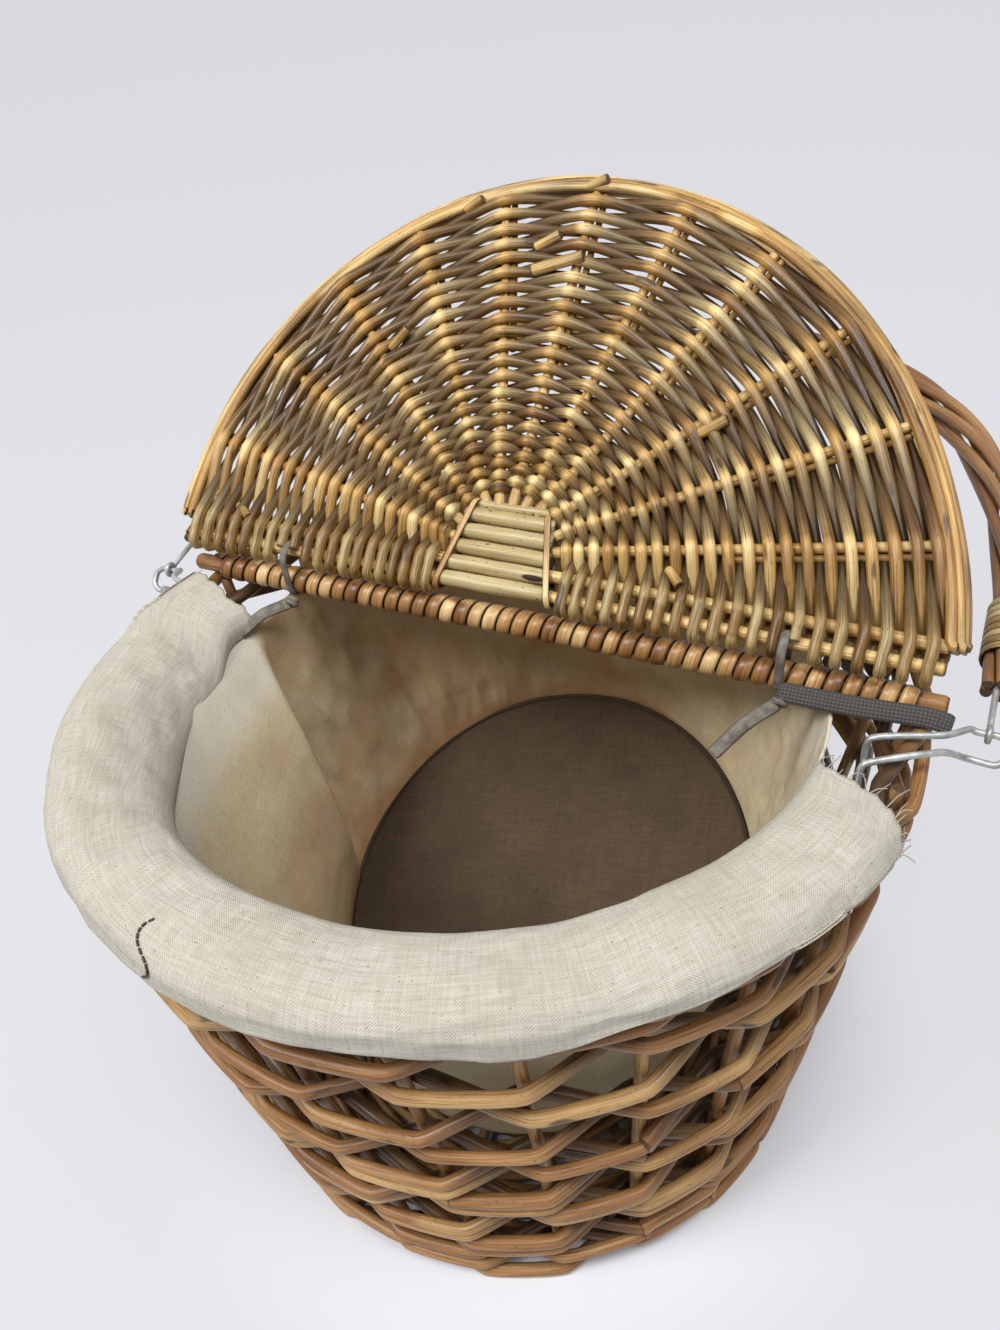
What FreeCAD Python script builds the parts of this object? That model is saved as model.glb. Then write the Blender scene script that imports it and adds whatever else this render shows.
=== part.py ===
# Wicker fishing creel: a lopsided round basket of woven willow rods with a
# linen liner folded over its rim, a wrapped bar across the mouth, a D-shaped
# lid woven on a fan of sticks and tied to that bar, and a twisted swing handle.
# Millimetres. The origin is the middle of the base on the ground, +X runs along
# the bar, +Y points to the back, +Z points up. The lid is built as it stands open.
import FreeCAD, Part
import math
import os

os.makedirs("parts", exist_ok=True)
doc = FreeCAD.newDocument("creel")
Vector = FreeCAD.Vector

# Sizes
sheet = doc.addObject("Spreadsheet::Sheet", "sizes")
SIZES = (
    # the wall, measured on the line of its upright stakes
    ("mouth_half_width", 180.0),
    ("mouth_half_depth", 165.0),
    ("mouth_lean", 19.0),
    ("foot_radius", 142.0),
    ("wall_height", 252.0),
    ("stake_foot_radius", 3.4),
    ("stake_top_radius", 2.8),
    ("wall_rod_radius", 3.2),
    ("weave_clearance", 0.3),
    ("row_clearance", 0.9),
    ("row_lift", 11.0),
    # the base
    ("base_stick_width", 9.0),
    ("base_stick_height", 4.6),
    ("base_stick_pitch", 15.0),
    ("base_cross_half", 42.0),
    ("spoke_radius", 2.8),
    ("base_rod_radius", 2.3),
    ("base_row_pitch", 20.0),
    # the linen liner
    ("cloth_thickness", 2.0),
    ("liner_tuck", 31.0),
    ("liner_top_drop", 3.8),
    ("liner_foot_radius", 116.0),
    ("liner_foot_level", 92.0),
    ("liner_foot_back", 4.0),
    ("liner_foot_side", 6.0),
    ("liner_foot_tilt", 28.0),
    ("liner_foot_roll", 10.0),
    ("fold_depth", 18.0),
    ("cuff_clearance", 0.8),
    ("cuff_rise", 5.2),
    ("cuff_drop", 18.0),
    # the wrapped bar across the mouth
    ("bar_half_length", 187.0),
    ("bar_middle", 3.0),
    ("bar_back", 45.7),
    ("bar_radius", 4.4),
    ("skein_thickness", 1.2),
    ("skein_width", 9.0),
    ("skein_inset", 13.0),
    # the lid and its thong hinges
    ("hinge_rise", 14.2),
    ("lid_open_angle", 35.2),
    ("lid_half_width", 190.0),
    ("lid_depth", 217.5),
    ("lid_lean", -18.5),
    ("fan_side", -15.0),
    ("first_row_gap", 18.7),
    ("edge_stick_radius", 3.0),
    ("edge_stick_up", 3.5),
    ("edge_stick_pitch", 10.0),
    ("slath_stick_radius", 3.6),
    ("slath_stick_half", 27.0),
    ("slath_stick_pitch", 8.4),
    ("lid_stake_radius", 2.8),
    ("lid_rod_radius", 2.2),
    ("lid_border_radius", 2.7),
    ("binding_thickness", 0.9),
    ("binding_width", 3.2),
    ("thong_thickness", 1.5),
    ("thong_width", 3.8),
    ("thong_tail_length", 34.0),
    ("knot_radius", 4.0),
    # the dark braided strap under the bar
    ("strap_width", 11.0),
    ("strap_thickness", 2.4),
    # the handle, its wire eyes and the wire staples that hold them
    ("handle_half_span", 209.0),
    ("handle_height", 268.0),
    ("handle_rest_angle", 8.0),
    ("handle_end_lay_radius", 4.8),
    ("handle_lay_radius", 7.8),
    ("handle_end_rod_radius", 2.6),
    ("handle_rod_radius", 3.4),
    ("handle_start", 25.0),
    ("wrap_start", 40.0),
    ("wrap_length", 32.0),
    ("wrap_thickness", 1.0),
    ("wrap_width", 4.0),
    ("pivot_level", 245.0),
    ("wire_radius", 1.5),
    ("eye_wire_radius", 1.4),
    ("eye_tang", 8.0),
    ("running_clearance", 0.05),
    ("staple_spread", 12.0),
    ("staple_inset", 16.0),
)
for row, (name, value) in enumerate(SIZES, start=1):
    sheet.set(f"A{row}", name)
    sheet.set(f"B{row}", repr(value))
    sheet.setAlias(f"B{row}", name)
doc.recompute()


def size(name):
    return float(sheet.get(name))


# Counts and shares
STAKES = 24
WALE_STEP = 3
ROD_SIDES = 6
BASE_ROD_SIDES = 5
STAKE_SIDES = 7
FAN_STEPS = 12
LID_ROWS = 16
INNER_ROWS = 5
SKEIN_TURNS = 24
WRAP_TURNS = 7
TURN_SIDES = 8
EYE_STEPS = 16
HANDLE_RODS = 5
HANDLE_STEPS = 30
HANDLE_TWISTS = 3
CLOTH_STEPS = 36
open_row_shares = (0.08, 0.155, 0.235, 0.32, 0.405, 0.49, 0.575, 0.66, 0.745, 0.83, 0.915)
lid_first_row_share = 0.20
lid_row_step_share = 0.05
inserted_stake_share = 0.47
lid_stake_end_share = 0.985
slath_start_shares = {2: 0.19, 4: 0.15, 6: 0.125, 8: 0.15, 10: 0.19}
thong_row_shares = (0.625, 0.675)
handle_square_share = 2.7
rod_taper_share = 0.86
hem_wave_share = 1.9
hem_uneven_share = 0.07


# Helpers
def solid_of_rings(rings, closed):
    """Close a row of equal-sided outlines into one solid of flat facets."""
    count = len(rings[0])
    corners = [corner for ring in rings for corner in ring]
    facets = []
    spans = len(rings) if closed else len(rings) - 1
    for span in range(spans):
        here = span * count
        there = ((span + 1) % len(rings)) * count
        for side in range(count):
            after = (side + 1) % count
            facets.append((here + side, there + side, here + after))
            facets.append((here + after, there + side, there + after))
    if not closed:
        low, high = 0, count - 1
        last = (len(rings) - 1) * count
        while high - low >= 2:
            facets.append((low, low + 1, high))
            facets.append((last + low, last + high, last + low + 1))
            if high - 1 > low + 1:
                facets.append((low + 1, high - 1, high))
                facets.append((last + low + 1, last + high, last + high - 1))
            low, high = low + 1, high - 1
    shape = Part.Shape()
    shape.makeShapeFromMesh((corners, facets), 0.0001)
    solid = Part.Solid(Part.Shell(shape.Faces))
    if solid.Volume < 0:
        solid.reverse()
    return solid


def rod(points, ups, radii, sides=ROD_SIDES, closed=False, half_side=None):
    """A rod along points; ups keep its section from turning about its own line."""
    rings = []
    for index, point in enumerate(points):
        before = points[index - 1] if closed or index else point
        after = points[(index + 1) % len(points)] if closed or index < len(points) - 1 else point
        along = (after - before).normalize()
        side = along.cross(ups[index]).normalize()
        up = side.cross(along).normalize()
        radius = radii[index] if isinstance(radii, (list, tuple)) else radii
        if half_side is None:
            turns = [math.tau * (corner + 0.5) / sides for corner in range(sides)]
            ring = [point + up * (radius * math.cos(turn)) + side * (radius * math.sin(turn))
                    for turn in turns]
        else:
            ring = [point + up * (radius * a) + side * (half_side * b)
                    for a, b in ((1, 1), (-1, 1), (-1, -1), (1, -1))]
        rings.append(ring)
    return solid_of_rings(rings, closed)


def crossing_offset(reach, span):
    """How far a rod stands off a stake so that its slanting runs clear it by reach."""
    return reach / math.sqrt(1 - (2 * reach / span) ** 2)


def wall_point(angle, level, out=0.0):
    """A point on the wall at a height, pushed out square to the wall's plan."""
    share = level / size("wall_height")
    across = size("foot_radius") + (size("mouth_half_width") - size("foot_radius")) * share
    deep = size("foot_radius") + (size("mouth_half_depth") - size("foot_radius")) * share
    lean = size("mouth_lean") * share
    cosine, sine = math.cos(angle), math.sin(angle)
    run = Vector(lean * cosine - across * sine, deep * cosine, 0).normalize()
    return Vector(across * cosine + lean * sine + out * run.y, deep * sine - out * run.x, level)


def add_shape(label, shapes):
    feature = doc.addObject("Part::Feature", label)
    feature.Label = label
    feature.Shape = Part.Compound(shapes) if len(shapes) > 1 else shapes[0]
    return feature


def bind(feature, **expressions):
    for prop, expression in expressions.items():
        feature.setExpression(prop.replace("__", "."), expression)
    return feature


def compound(label, pieces):
    group = doc.addObject("Part::Compound", label)
    group.Label = label
    group.Links = pieces
    return group


stake_angles = [math.tau * index / STAKES for index in range(STAKES)]

# Upright stakes of the wall
foot = size("weave_clearance")
stake_top = size("wall_height") - size("stake_top_radius")
stakes = []
for angle in stake_angles:
    ends = [wall_point(angle, foot), wall_point(angle, stake_top)]
    out = wall_point(angle, foot, size("wall_rod_radius")) - ends[0]
    stakes.append(rod(ends, [out, out], [size("stake_foot_radius"), size("stake_top_radius")], STAKE_SIDES))
add_shape("wall_stakes", stakes)

# Woven rows of the wall: each rod runs outside two stakes and inside the third
reach = size("stake_foot_radius") + size("wall_rod_radius") + size("weave_clearance")


def wall_row(number, level, lift):
    span = (wall_point(stake_angles[1], level) - wall_point(stake_angles[0], level)).Length
    offset = crossing_offset(reach, span)
    points, ups = [], []
    for index, angle in enumerate(stake_angles):
        inside = (index + number) % WALE_STEP == 0
        level_here = level + (lift if inside else 0)
        points.append(wall_point(angle, level_here, -offset if inside else offset))
        ups.append(wall_point(angle, level_here, offset) - wall_point(angle, level_here))
    return rod(points, ups, size("wall_rod_radius"), closed=True)


tight_pitch = 2 * size("wall_rod_radius") + size("row_clearance")
foot_levels = [size("wall_rod_radius") + tight_pitch * index for index in range(WALE_STEP)]
rim_top = size("wall_height") - size("row_clearance")
rim_levels = [rim_top - size("wall_rod_radius") - tight_pitch * index for index in range(WALE_STEP)]
open_low, open_high = foot_levels[-1], rim_levels[-1]
open_levels = [open_low + (open_high - open_low) * share for share in open_row_shares]
add_shape("foot_wale", [wall_row(number, level, 0) for number, level in enumerate(foot_levels)])
add_shape("wall_weave", [wall_row(number, level, size("row_lift"))
                         for number, level in enumerate(open_levels)])
add_shape("rim_wale", [wall_row(number, level, 0) for number, level in enumerate(rim_levels)])

# Base: crossed sticks in the middle, spokes, and rods woven round them
crosses = {"base_sticks_across": [], "base_sticks_along": []}
for label, group in crosses.items():
    for place in (-2, -1, 0, 1, 2):
        stick = doc.addObject("Part::Box", "base_stick")
        upper = label == "base_sticks_along"
        length, width = "2 * sizes.base_cross_half", "sizes.base_stick_width"
        bind(stick, Length=width if upper else length, Width=length if upper else width,
             Height="sizes.base_stick_height")
        start = "-sizes.base_cross_half"
        shift = f"{place} * sizes.base_stick_pitch - sizes.base_stick_width / 2"
        bind(stick, Placement__Base__x=shift if upper else start,
             Placement__Base__y=start if upper else shift,
             Placement__Base__z="sizes.base_stick_height + sizes.weave_clearance" if upper else "0")
        group.append(stick)
    compound(label, group)

SPOKES = 16
spoke_level = 2 * size("base_rod_radius") + size("spoke_radius") + 2 * size("weave_clearance")
foot_span = (wall_point(stake_angles[1], 0) - wall_point(stake_angles[0], 0)).Length
spoke_stop = crossing_offset(reach, foot_span) + size("wall_rod_radius") + size("weave_clearance")


def spoke_angle(index):
    """Spokes butt in pairs against the inside bends of the foot's middle rod."""
    return math.tau * (index + 0.5) / SPOKES - stake_angles[1] / 4


def spoke_end(angle):
    place = wall_point(angle, foot_levels[1], -spoke_stop)
    return math.hypot(place.x, place.y)



def cross_edge(angle):
    """How far the crossed sticks of the base reach from the middle at an angle."""
    half, band = size("base_cross_half"), 2 * size("base_stick_pitch") + size("base_stick_width") / 2
    cosine, sine = abs(math.cos(angle)), abs(math.sin(angle))
    return max(min(half / cosine, band / sine), min(band / cosine, half / sine))


spokes = []
for index in range(SPOKES):
    angle = spoke_angle(index)
    spoke_start = cross_edge(angle) + size("spoke_radius") / 2 + size("row_clearance")
    ray = Vector(math.cos(angle), math.sin(angle), 0)
    lift = Vector(0, 0, spoke_level)
    spokes.append(rod([ray * spoke_start + lift, ray * spoke_end(angle) + lift], [lift, lift],
                      size("spoke_radius"), STAKE_SIDES))
add_shape("base_spokes", spokes)
base_rows = []
base_reach = size("spoke_radius") + size("base_rod_radius") + size("weave_clearance")
for number in range(4):
    radius = spoke_end(math.pi / 2) - size("base_row_pitch") * (3.3 - number)
    span = 2 * radius * math.sin(math.pi / SPOKES)
    offset = crossing_offset(base_reach, span)
    offset = min(offset, spoke_level - size("base_rod_radius"))
    points = []
    for index in range(SPOKES):
        angle = spoke_angle(index)
        side = 1 if (index + number) % 2 else -1
        points.append(Vector(radius * math.cos(angle), radius * math.sin(angle),
                             spoke_level + side * offset))
    up = Vector(0, 0, 1)
    base_rows.append(rod(points, [up] * SPOKES, size("base_rod_radius"), BASE_ROD_SIDES, closed=True))
add_shape("base_weave", base_rows)

# Liner: a bag of linen whose round bottom hangs tilted, its mouth tucked in
thickness = size("cloth_thickness")
liner_top = size("wall_height") - size("liner_top_drop")
foot_middle = Vector(size("liner_foot_side"), size("liner_foot_back"), size("liner_foot_level"))
foot_turn = FreeCAD.Rotation(Vector(0, 1, 0), -size("liner_foot_roll")).multiply(
    FreeCAD.Rotation(Vector(1, 0, 0), size("liner_foot_tilt")))
bag_shares = (0.0, 0.25, 0.5, 0.75, 1.0)
fold_places = ((math.radians(181), 1.0), (math.radians(146), -0.6), (math.radians(262), 0.25),
               (math.radians(318), 0.33), (math.radians(75), 0.36), (math.radians(112), 0.28))
fold_width = math.radians(16)


def liner_point(angle, share, inset):
    low = foot_turn.multVec(Vector(math.cos(angle), math.sin(angle), 0)
                            * (size("liner_foot_radius") - inset)) + foot_middle
    high = wall_point(angle, liner_top, -size("liner_tuck") - inset)
    point = low + (high - low) * share
    middle = wall_point(angle, liner_top, 0)
    inward = Vector(-middle.x, -middle.y, 0).normalize()
    depth = 0.0
    for place, strength in fold_places:
        apart = math.remainder(angle - place, math.tau) / fold_width
        depth += strength * size("fold_depth") * math.exp(-apart * apart)
    return point + inward * (depth * math.sin(math.pi * share))


bag_rings = []
for index in range(CLOTH_STEPS):
    angle = math.tau * index / CLOTH_STEPS
    outer = [liner_point(angle, share, 0) for share in bag_shares]
    inner = [liner_point(angle, share, thickness) for share in reversed(bag_shares)]
    bag_rings.append(outer + inner)
add_shape("liner_bag", [solid_of_rings(bag_rings, True)])

bottom = doc.addObject("Part::Cylinder", "liner_bottom")
bottom.Label = "liner_bottom"
bind(bottom, Radius="sizes.liner_foot_radius - sizes.cloth_thickness - sizes.weave_clearance"
     " - sizes.row_clearance", Height="sizes.cloth_thickness")
bottom.Placement = FreeCAD.Placement(foot_middle, foot_turn)

# Cuffs: the liner's edge folded outward over the rim, in front and at the back
rim_out = crossing_offset(reach, (wall_point(stake_angles[1], liner_top)
                                  - wall_point(stake_angles[0], liner_top)).Length)
cuff_out = rim_out + size("wall_rod_radius") + size("cuff_clearance")
cuff_under = size("wall_height") + size("cuff_clearance") + 2 * size("wire_radius")


def cuff(label, first, last, bare_until):
    """A folded strip between two half steps of the stakes, hemless at its left end."""
    tuck, rise = -size("liner_tuck"), size("cuff_rise")
    rings = []
    for index in range(first, last + 1):
        angle = math.pi * index / STAKES
        covered = 0.0 if index < bare_until else 1.0
        wave = math.sin(hem_wave_share * index)
        hem = cuff_under - size("cuff_drop") * covered * (1 + hem_uneven_share * wave)
        swing = cuff_out if index >= bare_until - 1 else cuff_out - size("wall_rod_radius") * 2
        flare = size("cuff_clearance") * covered * (2 + wave)
        fall = thickness * covered
        over = [(tuck - thickness, liner_top), (tuck - thickness, cuff_under - thickness),
                (tuck + rise, cuff_under + thickness), (0, cuff_under + thickness),
                (swing - rise / 2, cuff_under + thickness),
                (swing + thickness, cuff_under + thickness / 2 - fall),
                (swing + thickness * 1.2 + flare, hem + thickness / 4 - fall)]
        under = [(tuck, liner_top), (tuck, cuff_under - thickness * 2), (tuck + rise + thickness, cuff_under),
                 (0, cuff_under), (swing - rise, cuff_under), (swing, cuff_under - fall * 1.5),
                 (swing + thickness * 0.2 + flare, hem - fall)]
        rings.append([wall_point(angle, liner_top, out) + Vector(0, 0, level - liner_top)
                      for out, level in over + under[::-1]])
    add_shape(label, [solid_of_rings(rings, False)])


cuff("front_cuff", -25, -1, -22)
cuff("rear_cuff", 4, 20, 0)

# Bar across the mouth, resting on the rim, wrapped with a skein of split willow
bar_level = rim_top + size("bar_radius") + size("weave_clearance")
bar = doc.addObject("Part::Cylinder", "cross_bar")
bar.Label = "cross_bar"
bind(bar, Radius="sizes.bar_radius", Height="2 * sizes.bar_half_length",
     Placement__Base__x="sizes.bar_middle - sizes.bar_half_length",
     Placement__Base__y="sizes.bar_back",
     Placement__Base__z="sizes.wall_height - sizes.row_clearance + sizes.bar_radius"
     " + sizes.weave_clearance")
bar.Placement.Rotation = FreeCAD.Rotation(Vector(0, 1, 0), 90)


def winding(label, start, end, back, level, inner, thick, wide, turns):
    """One unbroken strip wound along X round a stick."""
    steps = turns * TURN_SIDES
    ring = (inner + thick / 2) / math.cos(math.pi / TURN_SIDES)
    points, ups = [], []
    for step in range(steps + 1):
        turn = math.tau * step / TURN_SIDES
        ray = Vector(0, math.sin(turn), math.cos(turn))
        points.append(Vector(start + (end - start) * step / steps, back, level) + ray * ring)
        ups.append(ray)
    apart = min((b - a).Length for a, b in zip(points, points[TURN_SIDES:]))
    print(f"{label}: least gap between its own turns {apart - wide:.2f}")
    return rod(points, ups, thick / 2, closed=False, half_side=wide / 2)


skein_start = size("bar_middle") - size("bar_half_length") + size("skein_inset")
skein_end = size("bar_middle") + size("bar_half_length") - size("skein_inset")
skein_inner = size("bar_radius") + size("weave_clearance") / 2
add_shape("bar_skein", [winding("bar_skein", skein_start, skein_end, size("bar_back"), bar_level,
                                skein_inner, size("skein_thickness"), size("skein_width"), SKEIN_TURNS)])

# Lid: a flat D leaning back from the hinge line above the bar
hinge_level = bar_level + size("hinge_rise")
lean_back = math.radians(size("lid_open_angle"))
lid_up = Vector(0, math.cos(lean_back), math.sin(lean_back))
lid_face = Vector(0, -math.sin(lean_back), math.cos(lean_back))
hinge_line = Vector(0, size("bar_back"), hinge_level)


def lid_point(along, up, out=0.0):
    return hinge_line + Vector(along, 0, 0) + lid_up * up + lid_face * out


second_up = size("edge_stick_up") + size("edge_stick_pitch")
slath_ups = [second_up + size("edge_stick_radius") + size("slath_stick_radius")
             + size("weave_clearance") + size("slath_stick_pitch") * index for index in range(3)]
first_row_up = slath_ups[-1] + size("slath_stick_radius") + size("first_row_gap")
fan_up = ((first_row_up - lid_first_row_share * size("lid_depth")) / (1 - lid_first_row_share))
fan = (size("fan_side"), fan_up)


def fan_place(step, share):
    """A place on the fan: step counts round from the right, share from the middle out."""
    turn = math.pi * step / FAN_STEPS
    along = size("lid_half_width") * math.cos(turn) + size("lid_lean") * math.sin(turn)
    up = size("lid_depth") * math.sin(turn)
    if step in (0, FAN_STEPS):
        return fan[0] + (along - fan[0]) * share, second_up
    return fan[0] + (along - fan[0]) * share, fan[1] + (up - fan[1]) * share


def stick(radius, along_from, along_to, up):
    ends = [lid_point(along_from, up), lid_point(along_to, up)]
    return rod(ends, [lid_face, lid_face], radius, TURN_SIDES)


edge_half = size("lid_half_width") - size("lid_border_radius") - size("row_clearance")
add_shape("lid_edge_sticks", [stick(size("edge_stick_radius"), -edge_half, edge_half, up)
                              for up in (size("edge_stick_up"), second_up)])
add_shape("slath_sticks", [stick(size("slath_stick_radius"), fan[0] - size("slath_stick_half"),
                                 fan[0] + size("slath_stick_half"), up) for up in slath_ups])


def loop(along, low, high, radius, thick, wide):
    """A flat strip bound round sticks from low to high, square to X."""
    corner = math.tan(math.pi / TURN_SIDES)
    far = radius + thick / 2
    near = far * corner
    corners = ((low - far, near), (low - far, -near), (low - near, -far), (high + near, -far),
               (high + far, -near), (high + far, near), (high + near, far), (low - near, far))
    middle = lid_point(along, (low + high) / 2)
    points = [lid_point(along, up, out) for up, out in corners]
    return rod(points, [point - middle for point in points], thick / 2, closed=True, half_side=wide / 2)


binding_gap = size("weave_clearance") / 2
bound_radius = size("slath_stick_radius") + binding_gap
binding_side = size("slath_stick_half") - size("binding_width")
add_shape("slath_bindings", [loop(fan[0] + side * binding_side, second_up, slath_ups[-1],
                                  bound_radius, size("binding_thickness"), size("binding_width"))
                             for side in (-1, 1)])
edge_radius = size("edge_stick_radius") + binding_gap
edge_loops = []
for index in range(0, LID_ROWS - 2, 2):
    share = lid_first_row_share + lid_row_step_share * (index + 0.5)
    for step, thong_share in ((0, thong_row_shares[1]), (FAN_STEPS, thong_row_shares[0])):
        if abs(share - thong_share) < lid_row_step_share / 2:
            continue
        along, _ = fan_place(step, share)
        edge_loops.append(loop(along, size("edge_stick_up"), second_up, edge_radius,
                               size("binding_thickness"), size("binding_width")))
add_shape("lid_edge_bindings", edge_loops)

# Fan of lid stakes; every second one is inserted further out
lid_stakes = []
for step in range(1, FAN_STEPS):
    start_share = slath_start_shares.get(step, inserted_stake_share)
    ends = [lid_point(*fan_place(step, share)) for share in (start_share, lid_stake_end_share)]
    radii = [size("lid_stake_radius"), size("lid_stake_radius") * rod_taper_share]
    lid_stakes.append(rod(ends, [lid_face, lid_face], radii, STAKE_SIDES))
add_shape("lid_stakes", lid_stakes)

# Rods woven over and under the fan, one row outside the other
lid_reach = size("lid_stake_radius") + size("lid_rod_radius") + size("weave_clearance")
end_up = second_up - size("edge_stick_radius") - size("lid_rod_radius") * 0.4
lid_rows = []
for number in range(LID_ROWS):
    share = lid_first_row_share + lid_row_step_share * number
    steps = list(range(0, FAN_STEPS + 1, 2 if number < INNER_ROWS else 1))
    places = [fan_place(step, share) for step in steps]
    span = min(math.dist(a, b) for a, b in zip(places[1:-1], places[2:-1]))
    offset = crossing_offset(lid_reach, span)
    sides = [1 if (index + number) % 2 else -1 for index in range(len(steps))]
    points = [lid_point(along, up, side * offset) for (along, up), side in zip(places, sides)]
    edge_off = max(offset, size("edge_stick_radius") + size("lid_rod_radius") + size("weave_clearance"))
    for index in (0, -1):
        points[index] = lid_point(places[index][0], second_up, sides[index] * edge_off)
    points.insert(0, lid_point(places[0][0], end_up, sides[0] * edge_off))
    points.append(lid_point(places[-1][0], end_up, sides[-1] * edge_off))
    lid_rows.append(rod(points, [lid_face] * len(points), size("lid_rod_radius")))
add_shape("lid_weave", lid_rows)

# Border rods bundled round the lid's curved edge
border_gap = size("weave_clearance") + 2 * size("lid_border_radius")
border = []
for push, out in ((0, 0.5), (0, -0.5), (math.sqrt(3) / 2, 0)):
    points, ups = [], []
    for index in range(2 * FAN_STEPS + 1):
        turn = math.pi * index / (2 * FAN_STEPS)
        normal = Vector(math.cos(turn), math.sin(turn), 0)
        along = size("lid_half_width") * math.cos(turn) + size("lid_lean") * math.sin(turn)
        up = size("lid_depth") * math.sin(turn)
        grow = push * border_gap
        points.append(lid_point(along + normal.x * grow, max(up + normal.y * grow, second_up),
                                out * border_gap))
        ups.append(lid_face)
    border.append(rod(points, ups, size("lid_border_radius")))
add_shape("lid_border", border)

# Leather thongs: loops round the bar and the lid's edge stick, knotted below
thong_alongs = [fan_place(FAN_STEPS, thong_row_shares[0])[0], fan_place(0, thong_row_shares[1])[0]]
lid_sweep = size("edge_stick_up") + size("edge_stick_radius") + size("weave_clearance")
bar_sweep = skein_inner + size("skein_thickness") + size("weave_clearance") * 3


def belt(along):
    """A flat thong round the hinge line above and the bar below."""
    round_top = lid_sweep + size("thong_thickness") / 2
    round_low = bar_sweep + size("thong_thickness") / 2
    slope = math.asin((round_top - round_low) / size("hinge_rise"))
    corner = math.cos(math.pi / (2 * TURN_SIDES))
    points, ups = [], []
    for level, radius, first, last in ((hinge_level, round_top, -slope, math.pi + slope),
                                       (bar_level, round_low, math.pi + slope, math.tau - slope)):
        for index in range(TURN_SIDES):
            turn = first + (last - first) * (index + 0.5) / TURN_SIDES
            ray = Vector(0, math.cos(turn), math.sin(turn))
            points.append(Vector(along, size("bar_back"), level) + ray * (radius / corner))
            ups.append(ray)
    return rod(points, ups, size("thong_thickness") / 2, closed=True, half_side=size("thong_width") / 2)


thongs, knots, tails = [], [], []
for along in thong_alongs:
    thongs.append(belt(along))
    knot_reach = bar_sweep + size("thong_thickness") + size("knot_radius") + size("weave_clearance")
    knot_middle = Vector(along, size("bar_back") - knot_reach * 0.8, bar_level - knot_reach * 0.6)
    fall = Vector(-0.1, -0.75, -0.65).normalize()
    over = Vector(0, -1, 1)
    lump = [knot_middle + fall * (size("knot_radius") * place) for place in (-1, -0.5, 0.5, 1)]
    knots.append(rod(lump, [over] * 4, [size("knot_radius") * part for part in (0.5, 1, 1, 0.5)], TURN_SIDES))
    start = knot_middle + fall * (size("knot_radius") + size("weave_clearance"))
    middle = start + fall * (size("thong_tail_length") / 2) + Vector(0, 0, size("knot_radius") / 2)
    tip = start + fall * size("thong_tail_length") - Vector(0, 0, size("knot_radius"))
    tails.append(rod([start, middle, tip], [over] * 3, size("thong_thickness") / 2,
                     half_side=size("thong_width") * 0.7))
add_shape("thong_loops", thongs)
add_shape("thong_knots", knots)
add_shape("thong_tails", tails)

# Braided strap lying under the right end of the bar and hooked over the rim
strap_from = Vector(thong_alongs[1] + size("thong_width"), size("bar_back"), bar_level)
strap_drop = skein_inner + size("skein_thickness") + size("strap_thickness") / 2 + size("weave_clearance")
strap_out = size("bar_middle") + size("bar_half_length")
strap_points = [strap_from + Vector(0, -strap_drop - size("strap_thickness"), -strap_drop * 0.35),
                Vector(strap_out - size("skein_inset") * 2.6, size("bar_back") - strap_drop * 1.35,
                       bar_level - strap_drop * 0.1),
                Vector(strap_out + size("strap_thickness"), size("bar_back") - strap_drop * 1.35,
                       bar_level - strap_drop * 0.1)]
add_shape("braided_strap", [rod(strap_points, [Vector(0, -1, 0)] * 3, size("strap_thickness") / 2,
                                half_side=size("strap_width") / 2 * 0.55)])

# Handle: an arch of twisted rods on wire eyes, leaning back at rest
rest = math.radians(size("handle_rest_angle"))
handle_up = Vector(0, math.cos(rest), math.sin(rest))
handle_face = Vector(0, -math.sin(rest), math.cos(rest))
pivot = Vector(0, size("bar_back"), size("pivot_level"))


def handle_point(turn):
    power = 2 / handle_square_share
    across = math.copysign(abs(math.cos(turn)) ** power, math.cos(turn))
    return pivot + Vector(size("handle_half_span") * across, 0, 0) + handle_up * (
        size("handle_start") + (size("handle_height") - size("handle_start")) * math.sin(turn) ** power)


def handle_frame(share):
    """Place and outward direction on the arch, at an even share of its length."""
    place = share * (len(arch) - 1)
    index = min(int(place), len(arch) - 2)
    point = arch[index] + (arch[index + 1] - arch[index]) * (place - index)
    along = (arch[min(index + 2, len(arch) - 1)] - arch[max(index - 1, 0)]).normalize()
    return point, along.cross(handle_face).normalize()


fine = [handle_point(math.pi * index / 720) for index in range(721)]
travel = [0.0]
for a, b in zip(fine, fine[1:]):
    travel.append(travel[-1] + (b - a).Length)
arch = []
cursor = 0
for index in range(121):
    target = travel[-1] * index / 120
    while cursor < len(travel) - 2 and travel[cursor + 1] < target:
        cursor += 1
    part_way = (target - travel[cursor]) / (travel[cursor + 1] - travel[cursor])
    arch.append(fine[cursor] + (fine[cursor + 1] - fine[cursor]) * part_way)
handle_rods = []
for number in range(HANDLE_RODS):
    points, ups, radii = [], [], []
    for index in range(HANDLE_STEPS + 1):
        middle, outward = handle_frame(index / HANDLE_STEPS)
        swell = min(math.sin(math.pi * index / HANDLE_STEPS) * 1.6, 1)
        swell = max(swell - math.sin(math.pi / HANDLE_STEPS) * 4, 0)
        turn = math.tau * (number / HANDLE_RODS + HANDLE_TWISTS * index / HANDLE_STEPS)
        ray = outward * math.cos(turn) + handle_face * math.sin(turn)
        lay = size("handle_end_lay_radius")
        lay += (size("handle_lay_radius") - lay) * swell
        thin = size("handle_end_rod_radius")
        points.append(middle + ray * lay)
        ups.append(ray)
        radii.append(thin + (size("handle_rod_radius") - thin) * swell)
    handle_rods.append(rod(points, ups, radii))
add_shape("handle_rods", handle_rods)

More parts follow.
